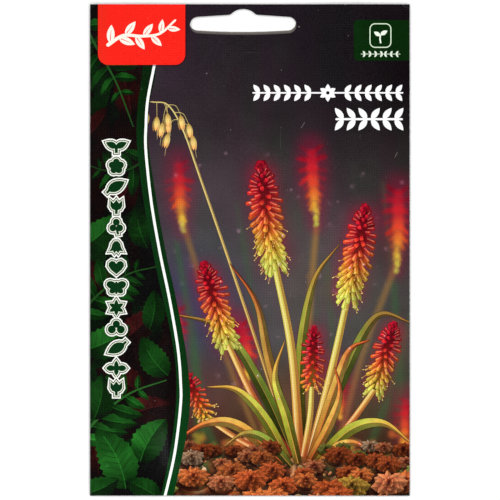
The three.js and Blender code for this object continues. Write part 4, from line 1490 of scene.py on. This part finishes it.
def sachet_film():
    m, nt, bsdf = material("sachet_film")
    where = object_place(nt)
    cloud = noise_node(nt, where, 120.0, 3.0, 0.5)
    base = mixed(nt, "MIX", spread(nt, cloud, 0.3, 0.7, 0.0, 1.0), (0.72, 0.77, 0.78), (0.84, 0.88, 0.88))
    nt.links.new(base, bsdf.inputs["Base Color"])
    nt.links.new(spread(nt, cloud, 0.3, 0.7, 0.12, 0.26), bsdf.inputs["Roughness"])
    bsdf.inputs["Transmission Weight"].default_value = 0.55
    bsdf.inputs["IOR"].default_value = 1.49
    # knurled seal
    xyz = node(nt, "ShaderNodeSeparateXYZ")
    nt.links.new(where, xyz.inputs[0])
    knurl = math_node(nt, "MULTIPLY", math_node(nt, "SINE", math_node(nt, "MULTIPLY", xyz.outputs[0], 6283.0)),
                      math_node(nt, "SINE", math_node(nt, "MULTIPLY", xyz.outputs[1], 6283.0)))
    bump = node(nt, "ShaderNodeBump", in_Strength=0.35, in_Distance=0.00008)
    nt.links.new(knurl, bump.inputs["Height"])
    nt.links.new(bump.outputs[0], bsdf.inputs["Normal"])
    return m


def seed_coat():
    m, nt, bsdf = material("seed_coat")
    where = object_place(nt)
    n = node(nt, "ShaderNodeTexVoronoi", in_Scale=14000.0)
    n.feature = "DISTANCE_TO_EDGE"
    nt.links.new(where, n.inputs["Vector"])
    net = spread(nt, n.outputs["Distance"], 0.0, 0.12, 0.0, 1.0)
    base = mixed(nt, "MIX", net, (0.055, 0.030, 0.016), (0.020, 0.011, 0.007))
    nt.links.new(base, bsdf.inputs["Base Color"])
    nt.links.new(spread(nt, net, 0.0, 1.0, 0.7, 0.5), bsdf.inputs["Roughness"])
    bump = node(nt, "ShaderNodeBump", in_Strength=0.6, in_Distance=0.00002)
    nt.links.new(net, bump.inputs["Height"])
    nt.links.new(bump.outputs[0], bsdf.inputs["Normal"])
    return m


def floor_paint():
    m, nt, bsdf = material("studio_floor")
    where = object_place(nt)
    cloud = noise_node(nt, where, 6.0, 2.0, 0.5)
    base = mixed(nt, "MIX", spread(nt, cloud, 0.3, 0.7, 0.0, 1.0), (0.900, 0.900, 0.900), (0.912, 0.912, 0.912))
    nt.links.new(base, bsdf.inputs["Base Color"])
    bsdf.inputs["Roughness"].default_value = 0.9
    bsdf.inputs["Specular IOR Level"].default_value = 0.1
    return m


# ------------------------------------------------------- the envelope's mesh
def make_envelope():
    me = bpy.data.meshes.new("envelope_paper")
    me.vertices.add(len(points3))
    me.vertices.foreach_set("co", points3.astype(np.float32).ravel())
    me.loops.add(len(faces) * 3)
    me.loops.foreach_set("vertex_index", faces.astype(np.int32).ravel())
    me.polygons.add(len(faces))
    me.polygons.foreach_set("loop_start", np.arange(0, len(faces) * 3, 3, dtype=np.int32))
    kinds = np.ones(len(faces), np.int32)
    kinds[:n_tri][~is_flap] = 0
    kinds[n_tri + len(f_in):] = 2
    me.polygons.foreach_set("material_index", kinds)
    me.update(calc_edges=True)
    # colours, corner by corner
    attribute = me.color_attributes.new("print", "FLOAT_COLOR", "CORNER")
    data = np.ones((len(faces), 3, 4), np.float32)
    data[:, :, :3] = 0.62
    data[:n_tri, :, :3] = linear
    attribute.data.foreach_set("color", data.ravel())
    # a map for anything that wants one: front large, back beside it, the rest small
    uv = np.zeros((len(faces), 3, 2))
    flat_uv = np.vstack([v_out, v_in])[faces]
    u, v = flat_uv[..., 0], flat_uv[..., 1]
    m = flat_uv.mean(1)
    outer = np.arange(len(faces)) < n_tri
    inner = (np.arange(len(faces)) >= n_tri) & (np.arange(len(faces)) < n_tri + len(f_in))
    back = m[:, 1] < VB - LB
    flap = np.abs(m[:, 0]) > UF + LF
    s = 0.98 / 149.0

    def lay(which, ou, ov, k, u0, v0):
        uv[which, :, 0] = ou + (u[which] - u0) * k
        uv[which, :, 1] = ov + (v[which] - v0) * k

    lay(outer & ~back & ~flap, 0.01, 0.01, s, -UF - LF, VB - LB)
    lay(outer & back, 0.665, 0.01, 0.0034, -BX, VS - BACK_TOP)
    lay(inner & ~back & ~flap, 0.665, 0.53, 0.0015, -UF - LF, VB - LB)
    lay(inner & back, 0.83, 0.53, 0.0015, -BX, VS - BACK_TOP)
    for i, (kind, sign) in enumerate(((outer, -1), (outer, 1), (inner, -1), (inner, 1))):
        which = kind & flap & (np.sign(m[:, 0]) == sign)
        a, b = v[which] - FLAP_LOW, np.abs(u[which]) - UF - LF
        uv[which, :, 0] = 0.665 + a * 0.0021
        uv[which, :, 1] = 0.78 + 0.03 * i + b * 0.0021
    rest = ~outer & ~inner
    k = np.flatnonzero(rest)
    along_rim = (np.arange(len(k)) // 2) / max(1, len(k) // 2)
    x0 = 0.665 + 0.32 * along_rim
    x1 = x0 + 0.32 / max(1, len(k) // 2)
    first = np.arange(len(k)) % 2 == 0
    # triangles are (j, i, a) and (j, a, b)
    uv[k, 0] = np.stack([x1, np.full(len(k), 0.93)], -1)
    uv[k, 1] = np.where(first[:, None], np.stack([x0, np.full(len(k), 0.93)], -1), np.stack([x0, np.full(len(k), 0.95)], -1))
    uv[k, 2] = np.where(first[:, None], np.stack([x0, np.full(len(k), 0.95)], -1), np.stack([x1, np.full(len(k), 0.95)], -1))
    layer = me.uv_layers.new(name="OFBake")
    layer.uv.foreach_set("vector", uv.astype(np.float32).ravel())
    # shading normals of the folded sheet itself, so that the print's edges leave no trace in the light
    split = normals3[faces]
    a, b, c = points3[faces[k, 0]], points3[faces[k, 1]], points3[faces[k, 2]]
    fn = np.cross(b - a, c - a)
    fn /= np.maximum(np.linalg.norm(fn, axis=1)[:, None], 1e-15)
    split[k] = fn[:, None, :]
    me.polygons.foreach_set("use_smooth", np.ones(len(faces), bool))
    me.normals_split_custom_set([tuple(x) for x in split.reshape(-1, 3).tolist()])
    me.materials.append(printed_paper())
    # the inner face is grey-back paper, its tones set darker still as painted shade: the shade inside the packet and on
    # the back sheet's ledge seen through the slot
    me.materials.append(raw_paper("grey_inner_face_with_painted_shade", (0.124, 0.106, 0.097), (0.199, 0.177, 0.164), (0.096, 0.081, 0.075)))
    me.materials.append(raw_paper("cut_edge", (0.42, 0.39, 0.36), (0.62, 0.59, 0.55), (0.36, 0.33, 0.30)))
    ob = bpy.data.objects.new("envelope_paper", me)
    bpy.context.collection.objects.link(ob)
    return ob


envelope = make_envelope()
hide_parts("packet_envelope")
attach(envelope, "root")


def dress(names, m):
    for name in names:
        ob = nodes[name]
        if not ob.material_slots:
            ob.data.materials.append(m)
        for slot in ob.material_slots:
            slot.link = "OBJECT"
            slot.material = m


dress(["side_seam_glue_left", "side_seam_glue_right", "mouth_hot_melt_bead"], hot_melt())
dress(["sachet_back_web", "sachet_front_web"], sachet_film())
dress(["seed_%02d" % k for k in range(1, 16)], seed_coat())

# ------------------------------------------------------- floor, light, camera
me = bpy.data.meshes.new("floor")
me.from_pydata([(-3, -3, -0.00003), (3, -3, -0.00003), (3, 3, -0.00003), (-3, 3, -0.00003)], [], [(0, 1, 2, 3)])
me.materials.append(floor_paint())
floor = bpy.data.objects.new("floor", me)
bpy.context.collection.objects.link(floor)


def area_light(name, at, size, power):
    data = bpy.data.lights.new(name, "AREA")
    data.shape = "SQUARE"
    data.size = size
    data.energy = power
    ob = bpy.data.objects.new(name, data)
    ob.location = at
    ob.rotation_euler = (-Vector(at)).to_track_quat("-Z", "Y").to_euler()
    bpy.context.collection.objects.link(ob)


POWER = 6.62
for name, turn, away, up, share in (("upper_right", 45, 0.81, 1.12, 0.95), ("upper_left", 135, 0.81, 1.12, 0.92),
                                    ("lower_left", 225, 0.81, 1.12, 0.97), ("lower_right", 315, 0.92, 1.03, 1.16)):
    at = away * math.cos(math.radians(turn)), away * math.sin(math.radians(turn)), up
    area_light("light_" + name, at, 0.75, POWER * share)

world = bpy.data.worlds.new("world")
bpy.context.scene.world = world
world.use_nodes = True
world.node_tree.nodes["Background"].inputs[0].default_value = (1, 1, 1, 1)
world.node_tree.nodes["Background"].inputs[1].default_value = 0.127

camera = bpy.data.cameras.new("camera")
camera.type = "PERSP"
camera.sensor_width = 36.0
camera.lens = 200.0
# the frame is 500 pixels, and the front's edges stand at the packet's top edge level
PIXEL = HEIGHT * MM / 491.6
distance = 500 * PIXEL * camera.lens / camera.sensor_width
cam = bpy.data.objects.new("camera", camera)
cam.location = (0.115 * PIXEL, 0.05 * PIXEL, distance + EDGE_Z * MM)
cam.rotation_euler = (0, 0, 0)
camera.clip_start = 0.01
camera.clip_end = 20
bpy.context.collection.objects.link(cam)
bpy.context.scene.camera = cam

scene = bpy.context.scene
scene.view_settings.view_transform = "Standard"
scene.view_settings.look = "None"
scene.view_settings.exposure = 0
scene.view_settings.gamma = 1
